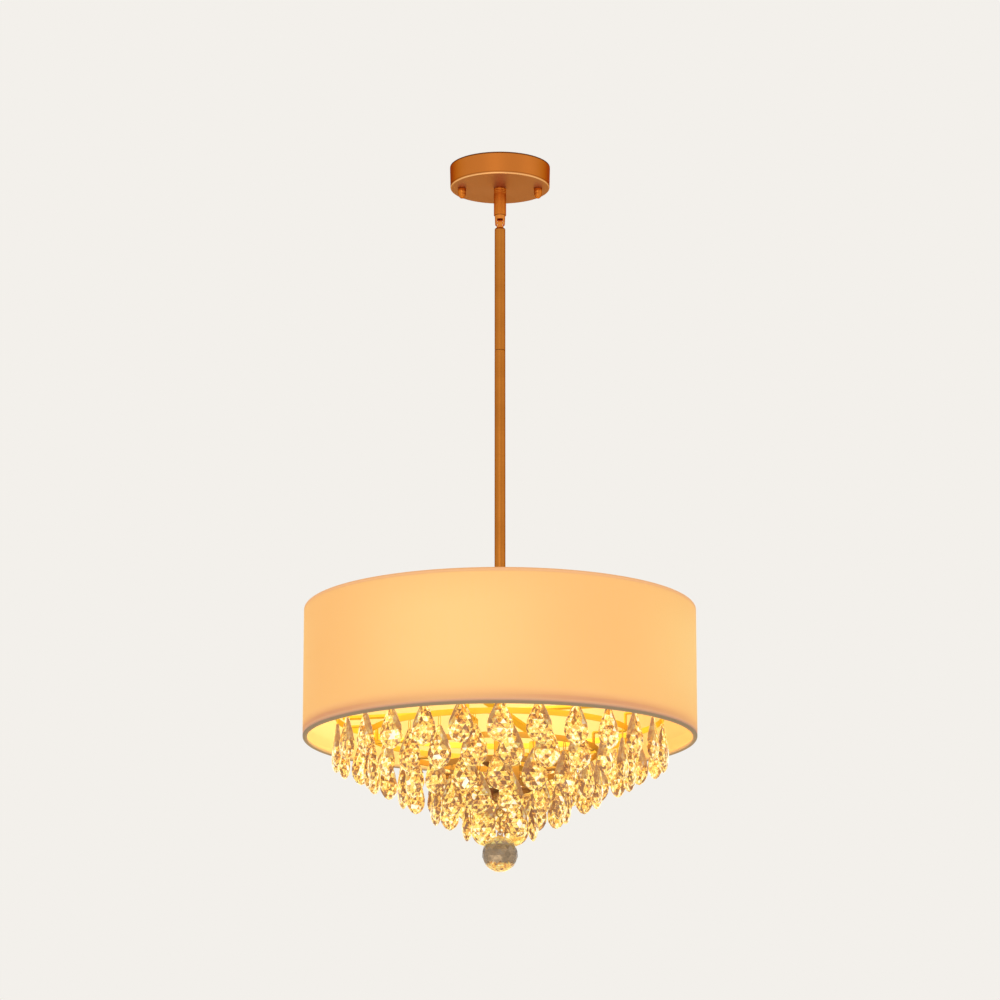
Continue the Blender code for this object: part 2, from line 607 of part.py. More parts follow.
def shade_spider(looks, hanging):
    """Top wire ring, four arms and the washer that the hub clamps, welded into one."""
    rim = hoop(WIRE_RING_RADIUS, RING_WIRE_DIAMETER, DRUM_SIDES)
    spider = place("shade_spider", rim, looks["gold"], hanging, height=TOP_WIRE_HEIGHT)
    washer_radius = SPIDER_WASHER_DIAMETER / 2
    outer = Vector((WIRE_RING_RADIUS, 0, -SEAT_GAP - SPIDER_WIRE_DIAMETER / 2))
    inner = Vector((washer_radius - SPIDER_WIRE_DIAMETER, 0, -SPIDER_RISE))
    span = outer - inner
    arm = cylinder(SPIDER_WIRE_DIAMETER / 2, span.length, WIRE_SIDES)
    lay = Matrix.Translation(outer) @ span.to_track_quat('Z', 'Y').to_matrix().to_4x4()
    bmesh.ops.transform(arm, matrix=lay, verts=arm.verts)
    turns = [Matrix.Rotation(math.radians(direction), 4, 'Z') for direction in ARM_DIRECTIONS]
    arms = place("guide_spider_arms", copies(arm, turns), None, hanging, height=TOP_WIRE_HEIGHT)
    combine(spider, arms, 'UNION')
    disc = tube(washer_radius, THREAD_HOLE_RADIUS, SPIDER_WASHER_THICKNESS, TURNED_SIDES)
    washer = place("guide_spider_washer", disc, None, hanging, height=WASHER_TOP)
    combine(spider, washer, 'UNION')


def shade_hub(looks, hanging):
    """Turned hub between the rod and the shade's washer."""
    top = SHADE_HUB_DIAMETER / 2
    flange = SHADE_HUB_FLANGE / 2
    flange_top = SHADE_HUB_FLANGE_HEIGHT - SHADE_HUB_HEIGHT
    profile = [(top, 0), (top * HUB_WAIST_SHARE, flange_top / 2), (top, flange_top), (flange, flange_top),
               (flange, -SHADE_HUB_HEIGHT), (THREAD_HOLE_RADIUS, -SHADE_HUB_HEIGHT), (THREAD_HOLE_RADIUS, 0)]
    place("shade_hub", turned(profile, TURNED_SIDES, closed=True), looks["gold"], hanging, height=HUB_TOP)


def spacer(name, looks, hanging, top, length):
    """Plain tube that slides over the centre tube and keeps two pieces apart."""
    place(name, tube(SPACER_DIAMETER / 2, THREAD_HOLE_RADIUS, length, TURNED_SIDES), looks["gold"], hanging,
          height=top)


# Lamps

def socket_cluster(looks, hanging):
    """Turned body on the centre tube, drilled for the four socket arms."""
    radius = CLUSTER_DIAMETER / 2
    profile = [(radius - CLUSTER_EDGE, 0), (radius, -CLUSTER_EDGE), (radius, CLUSTER_EDGE - CLUSTER_HEIGHT),
               (radius - CLUSTER_EDGE, -CLUSTER_HEIGHT), (THREAD_HOLE_RADIUS, -CLUSTER_HEIGHT),
               (THREAD_HOLE_RADIUS, 0)]
    body = place("socket_cluster", turned(profile, TURNED_SIDES, closed=True), looks["gold"], hanging,
                 height=CLUSTER_TOP)
    drill = cylinder(THREAD_HOLE_RADIUS, ARM_LENGTH, TURNED_SIDES)
    lays = [pointing(direction) @ at(0, 0, ARM_START - SEAT_GAP + ARM_LENGTH) for direction in ARM_DIRECTIONS]
    drills = place("cut_cluster_holes", copies(drill, lays), None, hanging, height=LAMP_HEIGHT)
    combine(body, drills, 'DIFFERENCE')


def lamps(looks, hanging):
    """Four sockets on short arms, each with its bulb screwed in."""
    back = SOCKET_BACK_DIAMETER / 2
    mouth = SOCKET_DIAMETER / 2
    arm_hole = bore_radius(THREAD_DIAMETER, LAMP_SIDES)
    cap_hole = bore_radius(LAMP_CAP_DIAMETER, LAMP_SIDES)
    socket_profile = [(back, 0), (mouth, SOCKET_SHOULDER), (mouth, SOCKET_LENGTH), (cap_hole, SOCKET_LENGTH),
                      (cap_hole, LAMP_CAP_START), (arm_hole, LAMP_CAP_START), (arm_hole, 0)]
    cap = LAMP_CAP_DIAMETER / 2
    cap_start = LAMP_CAP_START + SEAT_GAP
    glass_start = SOCKET_LENGTH + SEAT_GAP
    glass = BULB_DIAMETER / 2
    bulb_profile = [(0, cap_start), (cap / 2, cap_start), (cap, cap_start + LAMP_TIP_HEIGHT),
                    (cap, glass_start)]
    bulb_profile += [(glass * width, glass_start + BULB_LENGTH * along)
                     for along, width in BULB_OUTLINE_SHARES]
    bulb_profile.append((0, glass_start + BULB_LENGTH))
    for number, direction in enumerate(ARM_DIRECTIONS, 1):
        lay = pointing(direction)
        arm = tube(THREAD_DIAMETER / 2, THREAD_BORE / 2, ARM_LENGTH, TURNED_SIDES)
        bmesh.ops.transform(arm, matrix=at(0, 0, ARM_START + ARM_LENGTH), verts=arm.verts)
        place("socket_arm_%d" % number, arm, looks["steel"], hanging, height=LAMP_HEIGHT, turn=lay)
        for name, profile, closed in (("lamp_socket", socket_profile, True), ("bulb", bulb_profile, False)):
            shape = turned(profile, LAMP_SIDES, closed)
            bmesh.ops.transform(shape, matrix=at(0, 0, SOCKET_START), verts=shape.verts)
            look = looks["socket"] if closed else looks["bulb"]
            place("%s_%d" % (name, number), shape, look, hanging, height=LAMP_HEIGHT, turn=lay)


# Crystal frame

def frame_cross(looks, hanging):
    """Flat four-armed cross that the ribs hang from."""
    tip = FIRST_TIER_RADIUS + CROSS_OVERHANG
    half = CROSS_ARM_WIDTH / 2
    hub = CROSS_HUB_DIAMETER / 2
    arm_root = math.sqrt(hub ** 2 - half ** 2)
    between = hub * math.sqrt(0.5)
    outline = []
    for direction in ARM_DIRECTIONS:
        turn = Matrix.Rotation(math.radians(direction), 2)
        corner = [(arm_root, -half), (tip - half, -half)] + arc((tip - half, 0), half, -60, 60, 2)
        corner += [(tip - half, half), (arm_root, half), (between, between)]
        outline += [tuple(turn @ Vector(point)) for point in corner]
    cross = place("frame_cross", prism(outline, CROSS_THICKNESS), looks["gold"], hanging, height=CROSS_TOP)
    bore = place("cut_cross_bore", cylinder(THREAD_HOLE_RADIUS, CROSS_THICKNESS + 2 * OVERRUN, TURNED_SIDES),
                 None, hanging, height=CROSS_TOP + OVERRUN)
    combine(cross, bore, 'DIFFERENCE')


def ring_sides(count):
    """Flats of a tier's ring: two for each drop, and four where the drops are few."""
    return 2 * count if count > 2 * ARM_COUNT else 4 * count


def riser_face(tier):
    """How far out a flat riser reaches to stand the seat gap inside its tier's ring."""
    flats = (RING_RADII[tier] - TIER_RING_THICKNESS / 2) * math.cos(math.pi / ring_sides(TIER_COUNTS[tier]))
    return math.sqrt(flats ** 2 - (RIB_WIDTH / 2) ** 2) - SEAT_GAP


def frame_ribs(looks, hanging):
    """Four flat strips bent into stairs. Each riser backs one tier's ring."""
    outer = []
    inner = []
    head = RIB_TOP
    for tier, foot in enumerate(RING_BOTTOMS):
        face = riser_face(tier)
        outer += [(face, head), (face, foot)]
        inner += [(face - RIB_THICKNESS, head + (RIB_THICKNESS if inner else 0)),
                  (face - RIB_THICKNESS, foot + RIB_THICKNESS)]
        head = foot
    start = SPACER_DIAMETER / 2 + SEAT_GAP
    outline = outer + [(start, RING_BOTTOMS[-1]), (start, RING_BOTTOMS[-1] + RIB_THICKNESS)] + inner[::-1]
    outline = [(x, z - RIB_TOP) for x, z in outline]
    for number, direction in enumerate(ARM_DIRECTIONS, 1):
        strip = prism(outline, RIB_WIDTH)
        upright = Matrix.Rotation(math.radians(direction), 4, 'Z') @ Matrix.Rotation(math.pi / 2, 4, 'X')
        bmesh.ops.transform(strip, matrix=upright @ at(0, 0, RIB_WIDTH / 2), verts=strip.verts)
        place("frame_rib_%d" % number, strip, looks["gold"], hanging, height=RIB_TOP)


def base_plate(looks, hanging):
    """Round plate under the ribs' inner ends, held up by the finial."""
    disc = tube(BASE_PLATE_DIAMETER / 2, THREAD_HOLE_RADIUS, BASE_PLATE_THICKNESS, TURNED_SIDES)
    place("frame_base_plate", disc, looks["gold"], hanging, height=BASE_PLATE_TOP)


# Crystals

def crystal_drop():
    """One pear-shaped drop with flat faces in front and behind, and its link above it.

    Its link's middle is on Z, and height 0 is the underside of the ring that it hangs from."""
    shape = bmesh.new()
    turns = [math.tau * side / LINK_SIDES for side in range(LINK_SIDES)]
    half_wire = LINK_WIRE_DIAMETER / 2
    link = [(half_wire * math.cos(turn), half_wire * math.sin(turn)) for turn in turns]
    hexagon = [(1, 0), (DROP_FLAT_SHARE, 1), (-DROP_FLAT_SHARE, 1),
               (-1, 0), (-DROP_FLAT_SHARE, -1), (DROP_FLAT_SHARE, -1)]
    top = -DROP_LINK - DROP_LENGTH * DROP_TOP_SHARE
    levels = [[(x, y, TIER_RING_HEIGHT / 2) for x, y in link], [(x, y, top) for x, y in link]]
    for along, width, thickness in DROP_OUTLINE_SHARES:
        levels.append([(x * DROP_WIDTH / 2 * width, y * DROP_THICKNESS / 2 * thickness,
                        -DROP_LINK - DROP_LENGTH * along) for x, y in hexagon])
    loops = [[shape.verts.new(point) for point in level] for level in levels]
    shape.faces.new(loops[0])
    rings = []
    for loop in loops:
        closing = zip(loop, loop[1:] + loop[:1])
        rings.append([shape.edges.get(pair) or shape.edges.new(pair) for pair in closing])
    for above, below in zip(rings, rings[1:]):
        bmesh.ops.bridge_loops(shape, edges=above + below)
    tip = shape.verts.new((0, 0, -DROP_LINK - DROP_LENGTH))
    last = loops[-1]
    for one, other in zip(last, last[1:] + last[:1]):
        shape.faces.new((one, other, tip))
    return sealed(shape)


def crystal_tiers(looks, hanging):
    """Five strip rings, each smaller and lower than the last, with drops hung round them."""
    chance = random.Random(TWIST_SEED)
    for tier, (count, share) in enumerate(zip(TIER_COUNTS, TIER_TURN_SHARES)):
        radius = RING_RADII[tier]
        height = RING_BOTTOMS[tier]
        half = TIER_RING_THICKNESS / 2
        step = 360.0 / count
        start = FRONT_DIRECTION + share * step
        section = [(radius + half, TIER_RING_HEIGHT), (radius + half, 0),
                   (radius - half, 0), (radius - half, TIER_RING_HEIGHT)]
        band = turned(section, ring_sides(count), closed=True)
        line_up = Matrix.Rotation(math.radians(start), 4, 'Z')
        bmesh.ops.transform(band, matrix=line_up, verts=band.verts)
        ring = place("crystal_tier_%d" % (tier + 1), band, looks["crystal"], hanging, height=height)
        spots = []
        for number in range(count):
            direction = Matrix.Rotation(math.radians(start + number * step), 4, 'Z')
            twist = math.radians(90.0 + chance.uniform(-DROP_TWIST_DEGREES, DROP_TWIST_DEGREES))
            spots.append(direction @ at(radius, 0, 0) @ Matrix.Rotation(twist, 4, 'Z'))
        drops = place("guide_drops_%d" % (tier + 1), copies(crystal_drop(), spots), None, hanging,
                      height=height)
        combine(ring, drops, 'UNION')


# Ball and its hook

def finial(looks, hanging):
    """Knob nut that closes the stack, with a drilled tang for the ball's hook."""
    radius = FINIAL_DIAMETER / 2
    bore_foot = -FINIAL_HEIGHT + FINIAL_EDGE
    profile = [(0, bore_foot), (THREAD_HOLE_RADIUS, bore_foot), (THREAD_HOLE_RADIUS, 0),
               (radius - FINIAL_EDGE, 0), (radius, -FINIAL_EDGE), (radius, FINIAL_EDGE - FINIAL_HEIGHT),
               (radius - FINIAL_EDGE, -FINIAL_HEIGHT), (0, -FINIAL_HEIGHT)]
    knob = place("finial", turned(profile, TURNED_SIDES), looks["gold"], hanging, height=FINIAL_TOP)
    tang = drilled_ear(TANG_WIDTH, TANG_THICKNESS, TANG_LENGTH + FINIAL_EDGE / 2, -1)
    turn = Matrix.Rotation(math.pi / 2, 4, 'Z')
    bmesh.ops.transform(tang, matrix=turn, verts=tang.verts)
    combine(knob, place("guide_tang", tang, None, hanging, height=TANG_HOLE_HEIGHT), 'UNION')
    drill = cross_bar(HOOK_HOLE_DIAMETER / 2, FINIAL_DIAMETER)
    combine(knob, place("cut_tang_hole", drill, None, hanging, height=TANG_HOLE_HEIGHT), 'DIFFERENCE')


def drilled_ear(width, thickness, reach, side):
    """Flat ear in the XZ plane: round about the hole, at the origin, and straight for its reach."""
    half = width / 2
    outline = arc((0, 0), half, 0, 180 * side, 6) + [(-half, -side * reach), (half, -side * reach)]
    ear = prism(outline, thickness)
    lay = Matrix.Rotation(math.pi / 2, 4, 'X') @ at(0, 0, thickness / 2)
    bmesh.ops.transform(ear, matrix=lay, verts=ear.verts)
    return ear


def wire_loop(width, height, wire, steps, wire_sides):
    """Oval of round wire in the XZ plane. Its top bar is level and passes through the origin."""
    turns = [math.tau * (k + 0.5) / steps for k in range(steps)]
    shape = bmesh.new()
    rings = []
    top_bar = height / 2 * math.cos(turns[0])
    for turn in turns:
        centre = Vector((width / 2 * math.sin(turn), 0, height / 2 * math.cos(turn) - top_bar))
        outward = Vector((math.sin(turn) * height, 0, math.cos(turn) * width)).normalized()
        ring = []
        for k in range(wire_sides):
            around = math.tau * (k + 0.5) / wire_sides
            ring.append(shape.verts.new(centre + wire / 2 * (outward * math.cos(around)
                                                             + Vector((0, math.sin(around), 0)))))
        rings.append(ring)
    for one, other in zip(rings, rings[1:] + rings[:1]):
        for k in range(wire_sides):
            after = (k + 1) % wire_sides
            shape.faces.new((one[k], one[after], other[after], other[k]))
    return sealed(shape)


def ball_hook(looks, hooked):
    """Wire hook: an eye through the tang, a shank, and an eye turned a quarter for the ball."""
    bar_drop = HOOK_LOOP_HEIGHT / 2 * (1 + math.cos(math.pi / LOOP_STEPS))
    shank_length = HOOK_LENGTH - 2 * bar_drop + HOOK_WIRE_DIAMETER
    shank = place("ball_hook", cylinder(HOOK_WIRE_DIAMETER / 2, shank_length, WIRE_SIDES), looks["gold"],
                  hooked, height=HOOK_TOP - bar_drop + HOOK_WIRE_DIAMETER / 2)
    eye = wire_loop(HOOK_LOOP_WIDTH, HOOK_LOOP_HEIGHT, HOOK_WIRE_DIAMETER, LOOP_STEPS, WIRE_SIDES)
    combine(shank, place("guide_upper_eye", eye, None, hooked, height=HOOK_TOP), 'UNION')
    eye = wire_loop(HOOK_LOOP_WIDTH, HOOK_LOOP_HEIGHT, HOOK_WIRE_DIAMETER, LOOP_STEPS, WIRE_SIDES)
    turn = Matrix.Rotation(math.pi / 2, 4, 'Z') @ Matrix.Rotation(math.pi, 4, 'X')
    bmesh.ops.transform(eye, matrix=turn, verts=eye.verts)
    combine(shank, place("guide_lower_eye", eye, None, hooked, height=HOOK_BOTTOM), 'UNION')


def crystal_ball(looks, swinging):
    """Faceted ball with a drilled ear on top."""
    radius = BALL_DIAMETER / 2
    bands = [math.pi * band / BALL_BANDS for band in range(BALL_BANDS + 1)]
    profile = [(radius * math.sin(turn), radius * math.cos(turn)) for turn in bands]
    profile[0] = (0, radius)
    profile[-1] = (0, -radius)
    centre = BALL_CENTRE - HOOK_BOTTOM
    globe = turned(profile, BALL_SIDES)
    bmesh.ops.transform(globe, matrix=at(0, 0, centre), verts=globe.verts)
    ball = place("crystal_ball", globe, looks["crystal"], swinging, height=HOOK_BOTTOM)
    ear = drilled_ear(BALL_EAR_WIDTH, BALL_EAR_THICKNESS, BALL_EAR_RISE + BALL_EAR_WIDTH / 4, 1)
    combine(ball, place("guide_ball_ear", ear, None, swinging, height=EAR_HOLE_HEIGHT), 'UNION')
    drill = cross_bar(HOOK_HOLE_DIAMETER / 2, BALL_EAR_WIDTH)
    bmesh.ops.transform(drill, matrix=Matrix.Rotation(math.pi / 2, 4, 'Z'), verts=drill.verts)
    combine(ball, place("cut_ear_hole", drill, None, swinging, height=EAR_HOLE_HEIGHT), 'DIFFERENCE')


def build():
    """Make the whole chandelier."""
    for thing in list(bpy.data.objects):
        bpy.data.objects.remove(thing, do_unlink=True)
    looks = make_looks()

    root = joint_axis("ceiling_frame", 0)
    mounting_bar(looks, root)
    canopy_studs(looks, root)
    canopy(looks, root)
    lock_nut("canopy_lock_nut", looks, root, LOCK_NUT_TOP)
    threaded_tube("canopy_nipple", looks, root, NIPPLE_TOP, NIPPLE_TOP - NIPPLE_BOTTOM)
    swivel_collar(looks, root)

    turning = joint_axis("turn_axis", YOKE_TOP, root)
    swivel_yoke(looks, turning)

    hanging = joint_axis("tilt_axis", PIN_HEIGHT, turning)
    swivel_stem(looks, hanging)
    rods(looks, hanging)
    shade_hub(looks, hanging)
    tube_top = LOWER_ROD_BOTTOM + THREAD_REACH
    tube_bottom = TANG_TOP + FINIAL_EDGE + SEAT_GAP
    threaded_tube("centre_tube", looks, hanging, tube_top, tube_top - tube_bottom)
    shade_spider(looks, hanging)
    shade_fabric(looks, hanging)
    bottom_rim = hoop(BOTTOM_WIRE_RADIUS, RING_WIRE_DIAMETER, DRUM_SIDES)
    place("shade_bottom_ring", bottom_rim, looks["steel"], hanging, height=BOTTOM_WIRE_HEIGHT)
    lock_nut("spider_lock_nut", looks, hanging, SPIDER_NUT_TOP)
    spacer("upper_spacer", looks, hanging, UPPER_SPACER_TOP, UPPER_SPACER_LENGTH)
    socket_cluster(looks, hanging)
    lamps(looks, hanging)
    spacer("lower_spacer", looks, hanging, LOWER_SPACER_TOP, LOWER_SPACER_LENGTH)
    frame_cross(looks, hanging)
    spacer("frame_spacer", looks, hanging, RIB_TOP, RIB_TOP - BASE_PLATE_TOP - SEAT_GAP)
    frame_ribs(looks, hanging)
    base_plate(looks, hanging)
    crystal_tiers(looks, hanging)
    finial(looks, hanging)

    hooked = joint_axis("hook_axis", HOOK_TOP, hanging)
    ball_hook(looks, hooked)
    swinging = joint_axis("ball_axis", HOOK_BOTTOM, hooked)
    crystal_ball(looks, swinging)


build()
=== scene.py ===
# %% [markdown]
# # A drum chandelier in satin gold, linen and cut crystal
#
# The lamp hangs from the ceiling on two rods and a swivel. A fabric drum hides four candle bulbs,
# and under it five stepped tiers of crystal drops run down to a crystal ball. The solid model gives
# every size and joint. This script loads it and dresses it: smoother metal, woven fabric, cut glass.

# %% Load the solid model
import json
import math
import random

import bmesh
import bpy
import numpy as np
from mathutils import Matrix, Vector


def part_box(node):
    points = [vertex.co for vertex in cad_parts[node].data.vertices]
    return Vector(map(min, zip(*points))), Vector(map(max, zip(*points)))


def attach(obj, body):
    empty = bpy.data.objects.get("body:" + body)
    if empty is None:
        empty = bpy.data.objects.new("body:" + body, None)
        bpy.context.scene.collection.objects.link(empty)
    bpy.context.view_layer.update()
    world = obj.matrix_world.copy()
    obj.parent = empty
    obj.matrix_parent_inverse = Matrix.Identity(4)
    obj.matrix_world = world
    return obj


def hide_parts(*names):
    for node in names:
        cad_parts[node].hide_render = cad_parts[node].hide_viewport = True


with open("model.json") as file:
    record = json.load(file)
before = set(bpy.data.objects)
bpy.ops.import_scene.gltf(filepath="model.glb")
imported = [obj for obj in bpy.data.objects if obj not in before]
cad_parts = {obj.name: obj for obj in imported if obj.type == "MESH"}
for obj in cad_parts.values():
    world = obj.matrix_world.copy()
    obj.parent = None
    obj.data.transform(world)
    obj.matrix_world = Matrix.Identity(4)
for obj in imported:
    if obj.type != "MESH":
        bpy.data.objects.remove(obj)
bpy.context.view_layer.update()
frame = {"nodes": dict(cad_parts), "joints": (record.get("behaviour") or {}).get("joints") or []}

# %% [markdown]
# ## The camera
#
# The photograph was taken from below and far away. The ceiling canopy, the shade's two ellipses and
# the rod's length together give the place and the lens: a long lens, 4.6 m away, tipped up.

# %% Camera
CAMERA_PLACE = (0.0, -4.6346, -1.5391)
CAMERA_TIP = math.radians(13.68)
CAMERA_LENS = 146.07


def placed(name, data):
    """A new object in the scene that shows this data."""
    thing = bpy.data.objects.new(name, data)
    bpy.context.scene.collection.objects.link(thing)
    return thing


camera = placed("camera", bpy.data.cameras.new("camera"))
camera.location = CAMERA_PLACE
camera.rotation_euler = (math.pi / 2 + CAMERA_TIP, 0, 0)
camera.data.lens = CAMERA_LENS
camera.data.clip_end = 60
bpy.context.scene.camera = camera
print("lens", CAMERA_LENS, "mm, tipped up", round(math.degrees(CAMERA_TIP), 2), "degrees")

# %% [markdown]
# ## Grids, and what becomes of them
#
# Almost every part of a lamp is turned on a lathe or bent from wire or strip. Both are grids of
# points: rows follow a profile or a path, and columns go round. The helpers below work such grids
# out as whole arrays, so that a piece is one formula and not a loop over its points.

# %% Faces of a grid, and a piece from points
SHARP_EDGE = math.radians(35)
MERGE = 0.000002


def grid_faces(rows, columns, wrap_rows=False):
    """Quads of a grid: each joins a point, the next one along its row, and the two beside them."""
    row, column = np.meshgrid(np.arange(rows - (not wrap_rows)), np.arange(columns), indexing="ij")
    next_row, next_column = (row + 1) % rows, (column + 1) % columns
    corners = [row * columns + column, row * columns + next_column,
               next_row * columns + next_column, next_row * columns + column]
    return np.stack(corners, axis=-1).reshape(-1, 4)


def piece(name, shapes, sharp=SHARP_EDGE, indices=None):
    """One object from a list of (points, faces), with poles merged and every face turned outwards."""
    mesh = bpy.data.meshes.new(name)
    starts = np.cumsum([0] + [len(points) for points, faces in shapes])
    points = np.concatenate([points for points, faces in shapes])
    faces = [face for start, (_, part) in zip(starts, shapes) for face in (part + start).tolist()]
    mesh.from_pydata(points.tolist(), [], faces)
    if indices is not None:
        mesh.polygons.foreach_set("material_index", indices)
    shape = bmesh.new()
    shape.from_mesh(mesh)
    bmesh.ops.remove_doubles(shape, verts=shape.verts, dist=MERGE)
    bmesh.ops.recalc_face_normals(shape, faces=shape.faces)
    shape.to_mesh(mesh)
    shape.free()
    if sharp:
        mesh.shade_smooth()
        mesh.set_sharp_from_angle(angle=sharp)
    return placed(name, mesh)


# %% Profiles, turning and sweeping
CURVE_SHARE, HOLD_SHARE, HOLD_REACH = 0.44, 0.48, 1.5


def rounded(corners, radius, steps=4, closed=True):
    """Swap each corner for a short curve that starts and ends at most the radius away from it.

    The curve is (1-s)^2 A + 2 s (1-s) corner + s^2 B, with s from 0 to 1. One more point on each side,
    half as far again, holds the straight part straight, so that its shading doesn't bend."""
    corners = np.asarray(corners, float)
    before, after = np.roll(corners, 1, 0) - corners, np.roll(corners, -1, 0) - corners
    lengths = [np.maximum(np.linalg.norm(way, axis=1, keepdims=True), 1e-9) for way in (before, after)]
    a = corners + before * np.minimum(radius / lengths[0], CURVE_SHARE)
    b = corners + after * np.minimum(radius / lengths[1], CURVE_SHARE)
    hold_a = corners + before * np.minimum(HOLD_REACH * radius / lengths[0], HOLD_SHARE)
    hold_b = corners + after * np.minimum(HOLD_REACH * radius / lengths[1], HOLD_SHARE)
    s = np.linspace(0, 1, steps)[None, :, None]
    curve = (1 - s) ** 2 * a[:, None] + 2 * s * (1 - s) * corners[:, None] + s ** 2 * b[:, None]
    curve = np.concatenate([hold_a[:, None], curve, hold_b[:, None]], axis=1)
    if closed:
        return curve.reshape(-1, corners.shape[1])
    return np.concatenate([corners[:1], curve[1:-1].reshape(-1, corners.shape[1]), corners[-1:]])


def points_at(*axes):
    """Points from their coordinates, each an array or one number for all."""
    return np.stack(np.broadcast_arrays(*axes), axis=-1)


def oval(width, height, angle):
    """Points of an oval about 0 at these angles: (w cos a, h sin a)."""
    return points_at(width * np.cos(angle), height * np.sin(angle))


def ring_of(radius, sides):
    """Points of a circle, as (x, y)."""
    return oval(radius, radius, np.linspace(0, math.tau, sides, endpoint=False))


def lathe(profile, sides=64, closed=True):
    """Turn a profile of (radius, height) about Z: point (i, j) is r_i (cos a_j, sin a_j), z_i."""
    radius, height = np.asarray(profile, float).T[..., None]
    x, y = ring_of(1.0, sides).T
    points = points_at(radius * x, radius * y, height)
    return points.reshape(-1, 3), grid_faces(len(radius), sides, wrap_rows=closed)


def sweep(path, section, side, closed=False):
    """Carry a section along a flat path: path + s1 (side x tangent) + s2 side. Open ends are closed."""
    path, section, side = (np.asarray(part, float) for part in (path, section, side))
    if closed:
        tangent = np.roll(path, -1, 0) - np.roll(path, 1, 0)
    else:
        tangent = np.gradient(path, axis=0)
    tangent /= np.linalg.norm(tangent, axis=1, keepdims=True)
    normal = np.cross(side, tangent)
    normal /= np.linalg.norm(normal, axis=1, keepdims=True)
    side = np.broadcast_to(side, path.shape)
    grow = np.ones(len(path))
    if not closed:
        path, normal, side = (np.concatenate([part[:1], part, part[-1:]]) for part in (path, normal, side))
        grow = np.concatenate([[0], grow, [0]])
    across = section[None, :, :] * grow[:, None, None]
    points = path[:, None] + across[..., :1] * normal[:, None] + across[..., 1:] * side[:, None]
    return points.reshape(-1, 3), grid_faces(len(path), len(section), wrap_rows=closed)


def turns_about_z(degrees):
    """A stack of matrices that turn about Z."""
    angle = np.radians(np.atleast_1d(np.asarray(degrees, float)))
    zero, one = np.zeros_like(angle), np.ones_like(angle)
    rows = [[np.cos(angle), -np.sin(angle), zero], [np.sin(angle), np.cos(angle), zero], [zero, zero, one]]
    return np.moveaxis(np.array(rows), -1, 0)


def repeated(shape, turns, shifts=(0, 0, 0)):
    """One shape at many places: turn_k p + shift_k for every place k and point p."""
    points, faces = shape
    spots = np.einsum("nij,mj->nmi", turns, points) + np.broadcast_to(shifts, (len(turns), 3))[:, None]
    numbers = faces[None] + (len(points) * np.arange(len(turns)))[:, None, None]
    return spots.reshape(-1, 3), numbers.reshape(-1, faces.shape[1])


print("corners of a circle of radius 1:", ring_of(1.0, 4).round(2).tolist())

# %% [markdown]
# ## Paint as arithmetic
#
# A finish is a small sum: colour here, less of it there, rougher where fingers go. The first class
# below wraps a node's output, so that `wear * 0.3 + 0.2` adds the Math nodes by itself. Colours go
# through Mix nodes, because a Math node would turn them grey.

# %% Shader helpers
def srgb(*levels):
    """Linear colour from the 0 to 255 levels seen on a screen."""
    share = np.array(levels, float) / 255
    linear = np.where(share <= 0.04045, share / 12.92, ((share + 0.055) / 1.055) ** 2.4)
    return tuple(float(level) for level in linear)


class Level:
    """A number that varies over a surface. Sums on it become Math nodes."""

    def __init__(self, paint, socket):
        self.paint = paint
        self.socket = socket

    def maths(self, operation, *others):
        """Any Math node on this level."""
        return self.paint.node("Math", {"operation": operation}, dict(enumerate((self,) + others)))

    def __add__(self, other):
        return self.maths("ADD", other)

    __radd__ = __add__

    def __mul__(self, other):
        return self.maths("MULTIPLY", other)

    __rmul__ = __mul__

    def __sub__(self, other):
        return self.maths("SUBTRACT", other)

    def __rsub__(self, other):
        return self.paint.node("Math", {"operation": "SUBTRACT"}, {0: other, 1: self})

    def __truediv__(self, other):
        return self.maths("DIVIDE", other)

    def __pow__(self, other):
        return self.maths("POWER", other)

    def between(self, low, high):
        """0 below low, 1 above high and smooth between them."""
        settings = {"interpolation_type": "SMOOTHSTEP"}
        return self.paint.node("MapRange", settings, {"Value": self, "From Min": low, "From Max": high})


